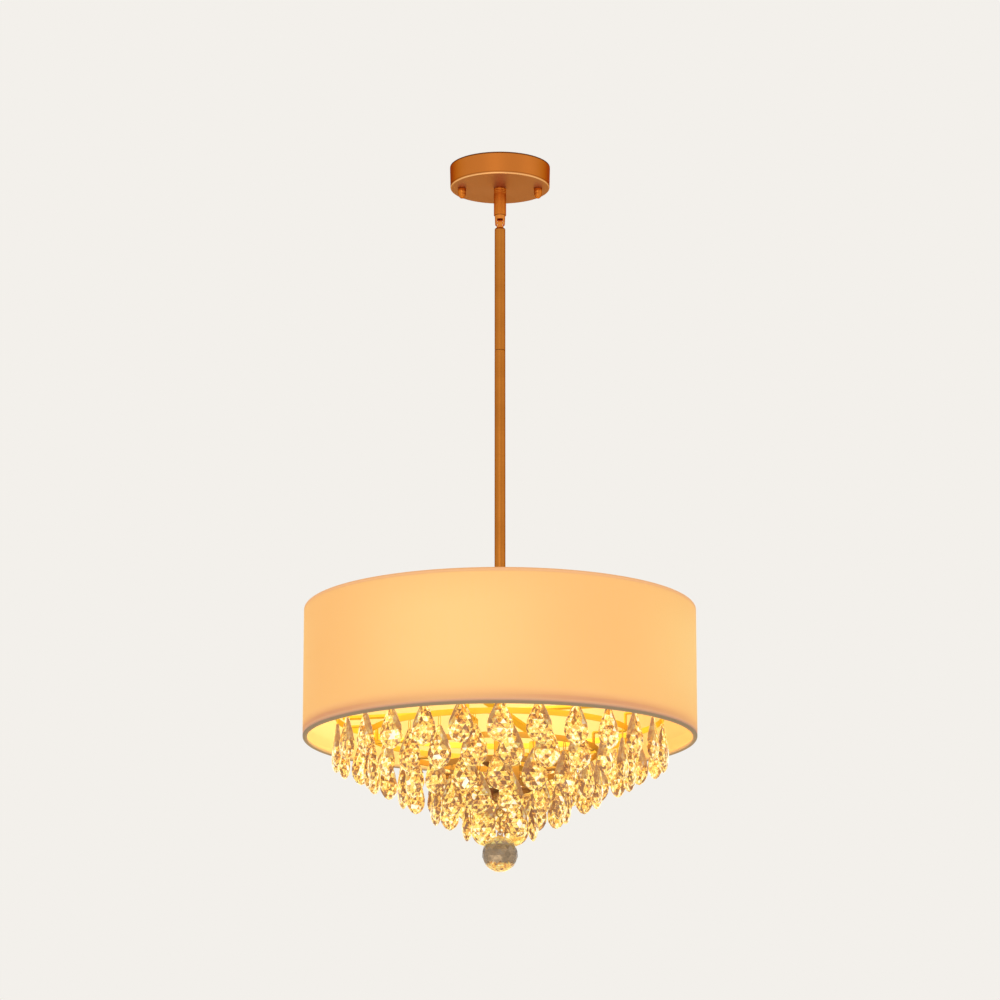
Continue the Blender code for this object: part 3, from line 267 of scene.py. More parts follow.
class Nodes:
    """A tree of shader nodes, of a material or of the world, and ways to add to it."""

    def __init__(self, tree):
        self.tree = tree

    def fill(self, socket, value):
        """Set one socket, or link it."""
        if isinstance(value, Level):
            self.tree.links.new(value.socket, socket)
        elif socket.type == "RGBA" and len(value) == 3:
            socket.default_value = (*value, 1.0)
        else:
            socket.default_value = value

    def node(self, kind, settings=(), sockets=(), output=0):
        """Any other node: its type, its settings, then its sockets' values or links."""
        made = self.tree.nodes.new("ShaderNode" + kind)
        for key, value in dict(settings).items():
            setattr(made, key, value)
        for key, value in dict(sockets).items():
            self.fill(made.inputs[key], value)
        return Level(self, made.outputs[output])

    def plainly_seen(self):
        """1 for what the camera sees, straight, in gloss or through glass, and 0 for what only lights."""
        seen = self.node("LightPath", output="Is Camera Ray")
        rays = seen.socket.node.outputs
        for ray in ("Is Glossy Ray", "Is Transmission Ray"):
            seen = seen.maths("MAXIMUM", Level(self, rays[ray]))
        return seen

    def place(self):
        """The piece's own coordinates in metres."""
        return self.node("TexCoord", output="Object")

    def axes(self):
        """The three coordinates in metres, as levels."""
        split = self.node("SeparateXYZ", sockets={0: self.place()})
        return tuple(Level(self, split.socket.node.outputs[axis]) for axis in "XYZ")

    def facet_level(self, name):
        """A number that the mesh keeps for each of its facets."""
        return self.node("Attribute", {"attribute_name": name}, output="Fac")

    def noise(self, scale, detail=3.0, vector=None):
        """Cloudy noise, 0 to 1, with this many clouds in a metre."""
        sockets = {"Scale": scale, "Detail": detail, "Roughness": 0.55, "Vector": vector or self.place()}
        return self.node("TexNoise", sockets=sockets)

    def cells(self, scale):
        """A random number for each cell of a crystal-like pattern, with this many cells in a metre."""
        cell = self.node("TexVoronoi", sockets={"Scale": scale, "Vector": self.place()}, output="Color")
        return self.node("SeparateColor", sockets={0: cell})

    def cell_edges(self, scale):
        """How far a point is from the nearest wall between two cells: 0 on the wall."""
        sockets = {"Scale": scale, "Vector": self.place()}
        return self.node("TexVoronoi", {"feature": "DISTANCE_TO_EDGE"}, sockets, "Distance")

    def ramp(self, level, stops):
        """Colours along a level: stops are (place, colour), in rising order."""
        made = self.node("ValToRGB", sockets={"Fac": level})
        elements = made.socket.node.color_ramp.elements
        while len(elements) < len(stops):
            elements.new(1.0)
        for element, (place, colour) in zip(elements, stops):
            element.position = place
            element.color = (*colour, 1.0)
        return made

    def mix(self, share, first, second):
        """A colour between two colours."""
        return self.node("Mix", {"data_type": "RGBA"}, {0: share, 6: first, 7: second}, 2)


class Paint(Nodes):
    """A material with one Principled BSDF."""

    def __init__(self, name, **constants):
        self.material = bpy.data.materials.new(name)
        self.material.use_nodes = True
        super().__init__(self.material.node_tree)
        self.shader = self.tree.nodes["Principled BSDF"]
        for socket, value in constants.items():
            self.set(socket.replace("_", " ").title().replace("Ior", "IOR"), value)

    def set(self, socket, value):
        """Put a constant, a colour or a level into one of the shader's sockets."""
        self.fill(self.shader.inputs[socket], value)

    def glow(self, colour, strength=1.0):
        """Make the surface shine by itself. Only lamps are sampled as lights, for a clean picture."""
        self.set("Emission Color", colour)
        self.set("Emission Strength", strength)
        self.material.cycles.emission_sampling = "NONE"

    def bump(self, level, depth, strength=1.0):
        """Raise the surface by a depth in metres where the level is 1."""
        bent = self.node("Bump", sockets={"Height": level, "Distance": depth, "Strength": strength})
        self.set("Normal", bent)


print("middle grey on a screen is", round(srgb(128)[0], 3), "in linear light")

# %% [markdown]
# ## Satin gold
#
# The metal is a warm, almost orange gold with a soft sheen. It was brushed while it turned, so its
# hairlines run round the axis: the noise reads the distance from the axis and the height, and
# hardly changes along the circle. Broad clouds vary the shine, as handling does.

# %% Metal finishes
GOLD = srgb(222, 134, 52)
GOLD_DEEP = srgb(196, 106, 32)
# The two golds below are brighter copies for the frame, as painted light from the bulbs nearby.
GOLD_BRIGHT = srgb(250, 210, 108)
GOLD_PALE = srgb(236, 180, 76)
GOLD_EDGE = srgb(120, 62, 20)
HAIRS_PER_METRE, HAIRLINE = 900.0, 0.00002


def brushed_metal(name, light, dark, roughness, edge=GOLD_EDGE):
    """Metal with hairlines round the Z axis, darker and rougher in broad clouds."""
    paint = Paint(name, metallic=1.0, specular_tint=edge)
    x, y, z = paint.axes()
    radius = (x * x + y * y) ** 0.5
    sockets = {"X": radius * HAIRS_PER_METRE, "Y": z * HAIRS_PER_METRE}
    hairs = paint.noise(2.0, 2.0, paint.node("CombineXYZ", sockets=sockets))
    clouds = paint.noise(28.0, 4.0)
    paint.set("Base Color", paint.mix(clouds * 0.7 + hairs * 0.3, light, dark))
    paint.set("Roughness", clouds * 0.14 + hairs * 0.10 + (roughness - 0.10))
    paint.bump(hairs, HAIRLINE)
    return paint


gold = brushed_metal("satin_gold", GOLD, GOLD_DEEP, 0.36)
# Shaded and lit copies of the same satin gold: the rods get a darker copy as painted shade, the yoke and stem
# a lighter copy as painted light.
rod_gold = brushed_metal("rod_gold", srgb(206, 130, 54), srgb(166, 98, 34), 0.34)
yoke_gold = brushed_metal("yoke_gold", srgb(234, 150, 68), srgb(208, 122, 48), 0.36)
zinc = brushed_metal("zinc_steel", srgb(190, 190, 186), srgb(150, 150, 148), 0.42, edge=(1.0, 1.0, 1.0))
print("metals:", gold.material.name, rod_gold.material.name, zinc.material.name)

# %% [markdown]
# Under the shade the same gold looks brighter, because the bulbs light it from close by. That light
# is painted: the frame's metal glows yellow at the height of the bulbs, and its colour and its glow
# are painted darker between the lower drops, as shade.

# %% Gold near the bulbs
FRAME_GLOW = srgb(254, 214, 58)
FRAME_SHADE = srgb(236, 178, 32)
FRAME_LOW = srgb(96, 66, 34)
FRAME_PAINTED_SHADE = srgb(168, 136, 96)
BULB_LIT = (-0.745, -0.665)
frame_gold = brushed_metal("frame_gold", GOLD_BRIGHT, GOLD_PALE, 0.30)
# Painted light and shade: bright gold with a yellow glow near the bulbs, a darker colour with a dim glow
# lower down.
near_bulbs = frame_gold.axes()[2].between(*BULB_LIT)
frame_lit = frame_gold.mix(frame_gold.noise(90.0, 2.0), FRAME_SHADE, FRAME_GLOW)
frame_bright = frame_gold.mix(frame_gold.noise(28.0, 4.0), GOLD_BRIGHT, GOLD_PALE)
frame_gold.set("Base Color", frame_gold.mix(near_bulbs, FRAME_PAINTED_SHADE, frame_bright))
frame_gold.glow(frame_gold.mix(near_bulbs, FRAME_LOW, frame_lit), 0.55)
print("nodes in the frame's gold:", len(frame_gold.tree.nodes))

# %% [markdown]
# ## Dressing
#
# A new piece gets its finishes, stands for the solid nodes it covers and rides on their body. One
# small function says all three.

# %% Dress a piece
def dress(thing, body, nodes, slot, *paints):
    """Give a piece its finishes, its body and the nodes that it stands for. Its slot is not used."""
    for paint in paints:
        thing.data.materials.append(paint.material)
    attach(thing, body)
    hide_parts(*nodes)
    print(thing.name, "on", body, len(thing.data.polygons), "faces")
    return thing


def dressed(node, shapes, body, slot, paint):
    """A new piece that stands for one node and is named after it."""
    return dress(piece(node + "_dressed", shapes), body, [node], slot, paint)


def turned_piece(node, profile, body, paint, sides=64, bevel=0.0004):
    """A gold piece from the lathe, with rounded corners."""
    return dressed(node, [lathe(rounded(profile, bevel), sides)], body, "gold", paint)


# %% [markdown]
# ## Canopy and cap nuts
#
# The canopy is a pan spun from sheet: a side that narrows a little downwards, a rolled lower edge
# with one bright line painted on it as its highlight, and a flat face. Two domed nuts hold it up.

# %% Canopy
low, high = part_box("canopy")
CANOPY_RADIUS, CANOPY_FOOT, CANOPY_TOP = high.x, low.z, high.z
CANOPY_WALL = 0.0010
CANOPY_DRAFT = 0.0006
CANOPY_EDGE = 0.0034
NIPPLE_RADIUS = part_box("canopy_nipple")[1].x

rim = CANOPY_RADIUS - CANOPY_DRAFT
canopy_profile = [
    (CANOPY_RADIUS, CANOPY_TOP), (rim, CANOPY_FOOT + CANOPY_EDGE), (rim, CANOPY_FOOT),
    (rim - CANOPY_EDGE, CANOPY_FOOT), (NIPPLE_RADIUS, CANOPY_FOOT),
    (NIPPLE_RADIUS, CANOPY_FOOT + CANOPY_WALL), (rim - CANOPY_EDGE, CANOPY_FOOT + CANOPY_WALL),
    (rim - CANOPY_WALL, CANOPY_FOOT + CANOPY_EDGE), (CANOPY_RADIUS - CANOPY_WALL, CANOPY_TOP)]
canopy_gold = brushed_metal("canopy_gold", GOLD, GOLD_DEEP, 0.38)
# Painted light and shade: a painted highlight on the rolled edge, a dark painted line in the crease above it,
# a painted shadow along the top where the canopy meets the ceiling, and the flat face painted as a greyer,
# pinker copy of the gold, as shade on a face that looks down.
height = canopy_gold.axes()[2] - CANOPY_FOOT
plate = 1 - height.between(-0.0002, 0.0003)
rim_highlight = 1 - height.between(0.0006, 0.0020)
crease_shade = height.between(0.0020, 0.0026) - height.between(0.0026, 0.0034)
top_shadow = (height - (CANOPY_TOP - CANOPY_FOOT)).between(-0.0022, -0.0012)
side_colour = canopy_gold.mix(rim_highlight, srgb(204, 120, 50), srgb(255, 196, 130))
side_colour = canopy_gold.mix(crease_shade * 0.5 + top_shadow * 0.8, side_colour, srgb(70, 34, 10))
canopy_gold.set("Base Color", canopy_gold.mix(plate, side_colour, srgb(196, 132, 90)))
turned_piece("canopy", canopy_profile, "base", canopy_gold, sides=160, bevel=0.0018)

# %% Cap nuts
NUT_SIDES = 72
NUT_NECK, NUT_FOOT = 0.0005, 0.0048
for side in ("left", "right"):
    low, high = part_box("cap_nut_" + side)
    centre, radius = (low + high) / 2, (high.x - low.x) / 2
    length = high.z - low.z
    dome = np.linspace(0, math.pi / 2, 9)
    ball_end = (0, -0.52 * length) + oval(0.94 * radius, -0.48 * length, dome)
    body_end = [(0, 0), (radius * 0.97, 0), (radius, -NUT_NECK), (radius, -NUT_FOOT),
                (radius * 0.94, -NUT_FOOT - NUT_NECK)]
    points, faces = lathe(np.concatenate([body_end, ball_end]), NUT_SIDES, closed=False)
    dressed("cap_nut_" + side, [(points + (centre.x, centre.y, high.z), faces)], "base", "gold", gold)

# %% [markdown]
# ## The swivel
#
# Three pieces let the lamp hang straight. A collar with three turned grooves holds the yoke, which
# spins in it. The yoke ends in two cheeks, and the stem's tongue tilts between them on a pin. Below
# the pin the stem is waisted, so that it can lean over without touching the cheeks.

# %% Collar
COLLAR_LENGTH = 0.0085
GROOVES = 0.0020 + 0.0022 * np.arange(3)
GROOVE_DEPTH, GROOVE_WIDTH = 0.00045, 0.00035
low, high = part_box("swivel_collar")
down = np.linspace(0, COLLAR_LENGTH, 60)
nearest = np.abs(down[:, None] - GROOVES[None]).min(axis=1)
cut = GROOVE_DEPTH * np.exp(-(nearest / GROOVE_WIDTH) ** 2)
outside = points_at(high.x - cut, high.z - down)
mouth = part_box("swivel_yoke")[1].x * 0.6
lower_edge = rounded([(high.x, low.z + 0.004), (high.x, low.z), (mouth, low.z)], 0.0004, 5, closed=False)
inside = [(mouth, low.z + 0.003), (NIPPLE_RADIUS, low.z + 0.0032)]
collar_profile = np.concatenate([[(NIPPLE_RADIUS, high.z)], outside, lower_edge, inside])
dressed("swivel_collar", [lathe(collar_profile)], "base", "gold", gold)

# %% Yoke and pin
PIN_HEIGHT = frame["joints"][1]["pos_m"][2]
low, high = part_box("swivel_yoke")
YOKE_RADIUS, YOKE_END = high.x, low.z
YOKE_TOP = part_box("swivel_collar")[0].z - 0.0003
YOKE_END_RADIUS, YOKE_HEAD_RADIUS = 0.0058, 0.0037
TUCK_LENGTH, TUCK = 0.0016, 0.0010
SLOT_HALF = 0.0035
KNUCKLE = PIN_HEIGHT - YOKE_END
crotch = PIN_HEIGHT + KNUCKLE


def yoke_radius(height):
    """The yoke's outside tapers in a straight line, and at the very end rounds in with a square."""
    share = (YOKE_TOP - height) / (YOKE_TOP - YOKE_END)
    tuck = np.clip((YOKE_END + TUCK_LENGTH - height) / TUCK_LENGTH, 0, 1)
    return YOKE_RADIUS + (YOKE_END_RADIUS - YOKE_RADIUS) * share - TUCK * tuck ** 2


def cheek(side):
    """One cheek: at each height a D whose width along Y is cut to the knuckle's circle."""
    height = PIN_HEIGHT - KNUCKLE * np.sin(np.linspace(-1.0, 1.0, 33) * math.pi / 2 * 0.999)
    height = np.concatenate([[crotch + 0.0004], height])
    radius = yoke_radius(height)
    below, above = np.clip(PIN_HEIGHT - height, 0, None), np.clip(height - PIN_HEIGHT, 0, None)
    circle = np.sqrt(np.clip(KNUCKLE ** 2 - below ** 2, 1e-9, None)) + above * 2
    reach = np.minimum(circle, np.sqrt(radius ** 2 - SLOT_HALF ** 2) * 0.999)
    along = reach[:, None] * np.sin(np.linspace(-1, 1, 15) * math.pi / 2)[None]
    outer = np.sqrt(radius[:, None] ** 2 - along ** 2)
    inner = np.full_like(along, SLOT_HALF)
    x = side * np.concatenate([outer, inner], axis=1)
    y = np.concatenate([along, along[:, ::-1]], axis=1)
    points = points_at(x, y, height[:, None])
    middle = np.broadcast_to(points.mean(axis=1, keepdims=True), points.shape)
    points = np.concatenate([middle[:1], points, middle[-1:]])
    return points.reshape(-1, 3), grid_faces(len(points), x.shape[1])


cap = np.linspace(YOKE_TOP, crotch, 6)
cap_side = rounded(points_at(yoke_radius(cap), cap), 0.0003, 3, closed=False)
yoke_head = [(0, high.z), (YOKE_HEAD_RADIUS, high.z), (YOKE_HEAD_RADIUS, YOKE_TOP)]
yoke_cap = lathe(np.concatenate([yoke_head, cap_side, [(0, crotch)]]), closed=False)
dressed("swivel_yoke", [yoke_cap, cheek(1), cheek(-1)], "swivel", "gold", yoke_gold)

low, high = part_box("swivel_pin")
pin_path = points_at(np.linspace(low.x, high.x, 9), 0, PIN_HEIGHT)
pin = sweep(pin_path, ring_of((high.z - low.z) / 2, 20), (0, 0, 1))
dressed("swivel_pin", [pin], "swivel", "gold", gold)

# %% Stem
low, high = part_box("swivel_stem")
TONGUE_RADIUS = high.z - PIN_HEIGHT
ROD_RADIUS, ROD_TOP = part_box("upper_rod")[1].x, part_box("upper_rod")[1].z
NECK_RADIUS, NECK_LENGTH = 0.0043, 0.0022
NECK_TOP = YOKE_END - 0.0003
stem_profile = rounded([
    (0, NECK_TOP), (NECK_RADIUS, NECK_TOP), (NECK_RADIUS - 0.0002, NECK_TOP - NECK_LENGTH),
    (ROD_RADIUS - 0.0002, ROD_TOP + 0.0008), (ROD_RADIUS, ROD_TOP + 0.0003),
    (NIPPLE_RADIUS, ROD_TOP + 0.0003), (NIPPLE_RADIUS, low.z), (0, low.z)], 0.0005, 5, closed=False)
tongue_foot = NECK_TOP - 0.0008 - PIN_HEIGHT
arch = oval(TONGUE_RADIUS, TONGUE_RADIUS, np.linspace(-math.pi / 2, math.pi / 2, 25))
tongue = np.concatenate([[(tongue_foot, -TONGUE_RADIUS)], arch, [(tongue_foot, TONGUE_RADIUS)]])
tongue_path = points_at([0.0003 - SLOT_HALF, SLOT_HALF - 0.0003], 0, PIN_HEIGHT)
blade, blade_faces = sweep(tongue_path, tongue, (0, 1, 0))
blade[:, 2] = 2 * PIN_HEIGHT - blade[:, 2]
stem_shapes = [lathe(stem_profile, closed=False), (blade, blade_faces)]
dressed("swivel_stem", stem_shapes, "lamp", "gold", yoke_gold)

# %% [markdown]
# ## Rods
#
# Two half-inch tubes screw together. Their chamfered ends leave a fine groove at the joint.

# %% Rods
BORE = NIPPLE_RADIUS + 0.0003


def tube_profile(name):
    """The section of a plain tube: the node's outside and height, with the bore inside."""
    low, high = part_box(name)
    return [(high.x, high.z), (high.x, low.z), (BORE, low.z), (BORE, high.z)]


for name in ("upper_rod", "lower_rod"):
    turned_piece(name, tube_profile(name), "lamp", rod_gold, bevel=0.0005)

# %% [markdown]
# ## The shade
#
# The drum is linen on a translucent liner. At the top and bottom it wraps round a wire ring and
# comes back up inside as a hem. So its section is one line, from the free end of the upper hem,
# over the top wire, down the wall, under the bottom wire and up the lower hem, given a thickness.

# %% Shade section
low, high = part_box("shade_fabric")
SHADE_RADIUS, SHADE_TOP, SHADE_FOOT = high.x, high.z, low.z
CLOTH = 0.0008
WIRE = 0.0032
GAP = 0.0003
UPPER_HEM = 0.0140
LOWER_HEM = 0.0200
HEM_SINK = 0.0060

roll = WIRE / 2 + GAP + CLOTH / 2
wall = SHADE_RADIUS - CLOTH / 2
wire_radius = wall - roll
hem_wall = wall - 1.2 * CLOTH
top_wire, foot_wire = SHADE_TOP - CLOTH / 2 - roll, SHADE_FOOT + CLOTH / 2 + roll
half_turn = np.linspace(0, math.pi, 17)
over = (wire_radius, top_wire) + oval(-roll, roll, half_turn)
under = (wire_radius, foot_wire) + oval(roll, -roll, half_turn)
heights = np.linspace(over[-1, 1], under[0, 1], 26)[1:-1]


def hem(start, laid, end):
    """Cloth from a rolled edge: by 3s^2 - 2s^3 it comes to lie on the wall, and runs on to its end."""
    s = np.linspace(0, 1, 9)[1:, None]
    path = start + s ** 2 * (3 - 2 * s) * ((hem_wall, laid) - start)
    return np.concatenate([path, [(hem_wall, end)]])


upper_hem = hem(over[0], SHADE_TOP - HEM_SINK - roll, SHADE_TOP - UPPER_HEM)[::-1]
lower_hem = hem(under[-1], SHADE_FOOT + HEM_SINK + roll, SHADE_FOOT + LOWER_HEM)
line = np.concatenate([upper_hem, over, points_at(wall, heights), under, lower_hem])
along = np.gradient(line, axis=0)
along /= np.linalg.norm(along, axis=1, keepdims=True)
normal = points_at(-along[:, 1], along[:, 0])
section = np.concatenate([line + normal * CLOTH / 2, (line - normal * CLOTH / 2)[::-1]])

# %% [markdown]
# ## Linen that glows
#
# Lit from inside, the cloth is creamy yellow where a bulb is near and orange where it is far. Its
# own colour is a warm cream, and that light is painted on as a glow, a broad patch in each bulb's
# direction. The hems are double cloth, so less light comes through and their painted glow is darker,
# and the very edge over the wire is painted as an unlit, shaded grey brown. Threads run both ways, and
# thick ones show as faint slubs. The liner inside is smooth and a paler yellow, and its painted glow
# is brighter on one side and towards the bulbs.

# %% Cloth colours
BULB_DIRECTIONS = (-15.0, 75.0, 165.0, 255.0)
LINEN = (0.86, 0.76, 0.58)
LINEN_THICK = (0.74, 0.62, 0.44)
# Painted shade: the grey brown of the rim over each wire.
RIM_SHADE_BROWN = (0.42, 0.33, 0.23)
# Painted light: the glows are the bulbs' light coming through the cloth, near a bulb and far from it, through
# the hems and along the top; their darkest stops are painted shade.
GLOW_FAR = (0.80, 0.365, 0.060)
GLOW_NEAR = (0.82, 0.465, 0.110)
HEM_GLOWS = ((0.0000, (0.16, 0.090, 0.025)), (0.0018, (0.17, 0.115, 0.060)), (0.0032, (0.26, 0.150, 0.085)),
             (0.0046, (0.50, 0.200, 0.092)), (0.0058, (0.60, 0.215, 0.070)), (0.0075, (0.50, 0.160, 0.035)),
             (0.0100, (0.52, 0.170, 0.032)), (0.0115, (0.66, 0.235, 0.040)), (0.0160, (0.76, 0.330, 0.062)),
             (0.0200, (0.80, 0.375, 0.070)), (0.0215, GLOW_FAR))
TOP_GLOWS = ((0.0000, (0.70, 0.300, 0.095)), (0.0036, (0.74, 0.330, 0.100)),
             (0.0042, (0.62, 0.250, 0.066)), (0.0052, GLOW_FAR))
# Painted light on the liner: its glows far from the bulbs, near them and at the hem.
LINER_FAR = (0.64, 0.200, 0.040)
LINER_NEAR = (0.72, 0.560, 0.170)
LINER_HEM = (0.74, 0.370, 0.090)
LINER_OWN = (0.88, 0.74, 0.46)
RAMP_REACH = 0.0240
THREAD = 0.0007


def direction_about_z(paint):
    """The angle round the drum, in radians."""
    x, y, _ = paint.axes()
    return y.maths("ARCTAN2", x)


def bulb_glow(turn):
    """1 in a bulb's direction, 0 half way between two: (1 + cos 4(turn - first bulb)) / 2."""
    lobe = (turn - math.radians(BULB_DIRECTIONS[0])) * len(BULB_DIRECTIONS)
    return lobe.maths("COSINE") * 0.5 + 0.5


def middle_height(z, shift, half, flat):
    """1 around the middle of the drum's height, shifted a little up, and 0 at this half away from it."""
    return 1 - ((z - (SHADE_TOP + SHADE_FOOT) / 2 - shift) / half).maths("ABSOLUTE").between(flat, 1.0)


def weave(paint, turn, z):
    """Slubs of thicker thread down and across, and the fine weave between them."""
    down = paint.noise(1.0, 2.0, paint.node("CombineXYZ", sockets={"X": turn * 330.0, "Y": z * 22.0}))
    across = paint.noise(1.0, 2.0, paint.node("CombineXYZ", sockets={"X": turn * 5.0, "Y": z * 1500.0}))
    fine_down = (turn * (SHADE_RADIUS * math.tau / THREAD)).maths("SINE")
    fine_across = (z * (math.tau / THREAD)).maths("SINE")
    return down * 0.6 + across * 0.4, fine_down * fine_across * 0.3


def edge_ramp(paint, distance, stops):
    """Colours by the distance in metres from an edge of the drum."""
    return paint.ramp(distance / RAMP_REACH, [(place / RAMP_REACH, colour) for place, colour in stops])


# %% Outer cloth
linen = Paint("shade_linen", roughness=0.85, sheen_weight=0.10, sheen_roughness=0.5)
z = linen.axes()[2]
turn = direction_about_z(linen)
above_foot, below_top = z - SHADE_FOOT, SHADE_TOP - z
slub, fine = weave(linen, turn, z)
thick = slub.between(0.35, 0.75)
# Painted light and shade: the glow is the bulbs' light through the cloth, a broad patch in each bulb's
# direction, less through thick slubs and dimmer in the double hems and along the top edge; the rim's base
# colour is painted shade.
rim = 1 - above_foot.between(0.0020, 0.0056)
in_foot = 1 - above_foot.between(0.0165, 0.0215)
in_foot = in_foot * (1 - above_foot.between(0.0050, 0.0075) * bulb_glow(turn) * 0.45)
in_head = 1 - below_top.between(0.0046, 0.0054)
glow = linen.mix(bulb_glow(turn) * middle_height(z, 0.006, 0.100, 0.2), GLOW_FAR, GLOW_NEAR)
glow = linen.mix(thick * 0.10, glow, GLOW_FAR)
glow = linen.mix(in_foot, glow, edge_ramp(linen, above_foot, HEM_GLOWS))
linen.glow(linen.mix(in_head, glow, edge_ramp(linen, below_top, TOP_GLOWS)))
linen.set("Base Color", linen.mix(rim, linen.mix(thick * 0.35, LINEN, LINEN_THICK), RIM_SHADE_BROWN))
linen.bump(fine + slub + in_foot * 0.5, 0.00022, 0.8)
print("nodes in the linen:", len(linen.tree.nodes))

# %% Liner
liner = Paint("shade_liner", roughness=0.6)
x, _, z = liner.axes()
above_foot = z - SHADE_FOOT
mottle = liner.noise(60.0, 3.0)
# Painted light and shade: the liner's glow is brighter on its -X side and towards each bulb, and darker in a
# band under the hem; its rim is painted shade.
liner_light = bulb_glow(direction_about_z(liner)) * middle_height(z, 0, 0.090, 0.3)
liner_light = (1 - x.between(0.05, 0.21)) * 0.7 + liner_light * 0.3
under_hem = 1 - above_foot.between(LOWER_HEM - 0.0006, LOWER_HEM + 0.0006)
rim = 1 - above_foot.between(0.0020, 0.0056)
glow = liner.mix(liner_light, LINER_FAR, LINER_NEAR)
glow = liner.mix(under_hem * 0.35 + mottle * 0.1, glow, LINER_HEM)
liner.glow(liner.mix(rim * 0.7, glow, HEM_GLOWS[2][1]), 0.8)
liner.set("Base Color", liner.mix(rim * 0.7, LINER_OWN, RIM_SHADE_BROWN))
liner.set("Roughness", mottle * 0.2 + 0.5)
print("nodes in the liner:", len(liner.tree.nodes))

# %% Shade
SHADE_SIDES = 240
SEAM_HALF = math.radians(1.5)
SEAM_SWELL = 0.00025
LINED_TOP_ROWS, BARE_FOOT_ROWS = 10, 12
points, faces = lathe(section, SHADE_SIDES)
turn = np.arctan2(points[:, 1], points[:, 0]) - math.pi / 2
swell = SEAM_SWELL * np.clip(1 - (np.abs(turn) / SEAM_HALF) ** 8, 0, 1)
points[:, :2] *= 1 + (swell / np.hypot(points[:, 0], points[:, 1]))[:, None]
row = np.arange(len(section))
first_bare = len(upper_hem) + LINED_TOP_ROWS
last_bare = len(upper_hem) + len(over) + len(heights) + BARE_FOOT_ROWS
lined = np.repeat((row < first_bare) | (row > last_bare), SHADE_SIDES).astype(np.int32)
shade = piece("shade_dressed", [(points, faces)], indices=lined)
dress(shade, "lamp", ["shade_fabric"], "fabric", linen, liner)

# %% [markdown]
# ## Wire rings, spider and hub
#
# A wire ring keeps each rim round. Four arms drop from the top ring to a washer, which is clamped
# on the centre tube under a waisted hub. The arms stand a quarter turn apart, and the shadows on
# the ceiling in the photograph give their direction.

# %% Rings and spider
low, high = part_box("shade_bottom_ring")
wire = (high.z - low.z) / 2 + 0.00005
ring_profile = ring_of(wire, 12) + (high.x - wire, (low.z + high.z) / 2)
dressed("shade_bottom_ring", [lathe(ring_profile, 160)], "lamp", "steel", zinc)

ARM_WIRE, WASHER_RADIUS, WASHER = 0.0019, 0.020, 0.0015
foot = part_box("shade_spider")[0].z
head = foot + WASHER
top_ring = lathe(ring_of(WIRE / 2, 12) + (wire_radius, top_wire), 160)
arm_path = rounded([(wire_radius - 0.0002, 0, top_wire - 0.0030), (wire_radius - 0.012, 0, top_wire - 0.0032),
                    (0.030, 0, foot + 0.0022), (0.014, 0, foot + 0.0018)], 0.006, 5, closed=False)
arms = repeated(sweep(arm_path, ring_of(ARM_WIRE, 12), (0, 1, 0)), turns_about_z(BULB_DIRECTIONS))
washer = rounded([(BORE, foot), (WASHER_RADIUS, foot), (WASHER_RADIUS, head), (BORE, head)], 0.0003)
dressed("shade_spider", [top_ring, arms, lathe(washer, 48)], "lamp", "gold", gold)

# %% Hub, spacers and cluster
low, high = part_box("shade_hub")
height = high.z - low.z
hub_profile = [(BORE, high.z), (0.0094, high.z), (0.0100, high.z - 0.0010), (0.0080, high.z - height * 0.35),
               (0.0080, high.z - height * 0.55), (0.0100, low.z + 0.0044), (0.0100, low.z + 0.0040),
               (high.x, low.z + 0.0040), (high.x, low.z), (BORE, low.z)]
turned_piece("shade_hub", hub_profile, "lamp", gold, bevel=0.0012)
for name in ("upper_spacer", "lower_spacer", "frame_spacer"):
    turned_piece(name, tube_profile(name), "lamp", frame_gold)
low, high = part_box("socket_cluster")
LAMP_HEIGHT = (low.z + high.z) / 2
edge = 0.0040
cluster_profile = [(BORE, high.z), (high.x - edge, high.z), (high.x, high.z - edge), (high.x, low.z + edge),
                   (high.x - edge, low.z), (BORE, low.z)]
turned_piece("socket_cluster", cluster_profile, "lamp", frame_gold, bevel=0.0015)

# %% [markdown]
# ## Sockets and bulbs
#
# Each socket is a plastic sleeve with a groove round it. The candle bulb is frosted glass. It glows
# most at its middle, where the filament is, and its light fills the shade and the crystals.

# %% Socket and bulb finishes
socket_paint = Paint("socket_plastic", base_color=srgb(238, 228, 204))
speckle = socket_paint.noise(900.0, 2.0)
socket_paint.set("Roughness", speckle * 0.15 + 0.38)
socket_paint.bump(speckle, HAIRLINE)

bulb_paint = Paint("bulb_glass", base_color=srgb(255, 236, 200), roughness=0.25, transmission_weight=0.25)
x, y, _ = bulb_paint.axes()
reach = (x * x + y * y) ** 0.5
warm = reach.between(0.062, 0.090) - reach.between(0.115, 0.150)
bulb_paint.glow(bulb_paint.mix(warm, srgb(250, 176, 84), srgb(255, 240, 196)), 0.95)

# %% Sockets and bulbs
SOCKET_START, GLASS_START = 0.0340, 0.0763
GLASS_RADIUS, GLASS_LENGTH = 0.0170, 0.0740
socket_profile = rounded([(0.0075, 0), (0.0110, 0.0100), (0.0110, 0.0130), (0.0104, 0.0138), (0.0104, 0.0152),
                          (0.0110, 0.0160), (0.0110, 0.0420), (0.0070, 0.0420), (0.0070, 0.0380),
                          (0.0060, 0.0360), (0.0060, 0.0030), (0.0054, 0)], 0.0006)
along = [0, 0.05, 0.12, 0.20, 0.28, 0.36, 0.46, 0.56, 0.68, 0.80, 0.88, 0.94, 0.98, 1.0]
wide = [0.37, 0.44, 0.66, 0.86, 0.96, 1.0, 0.985, 0.92, 0.74, 0.50, 0.31, 0.17, 0.075, 0.0]
fine = np.linspace(0, 1, 56)
flame = np.interp(fine, along, wide)
flame[1:-1] = (flame[:-2] + 2 * flame[1:-1] + flame[2:]) / 4
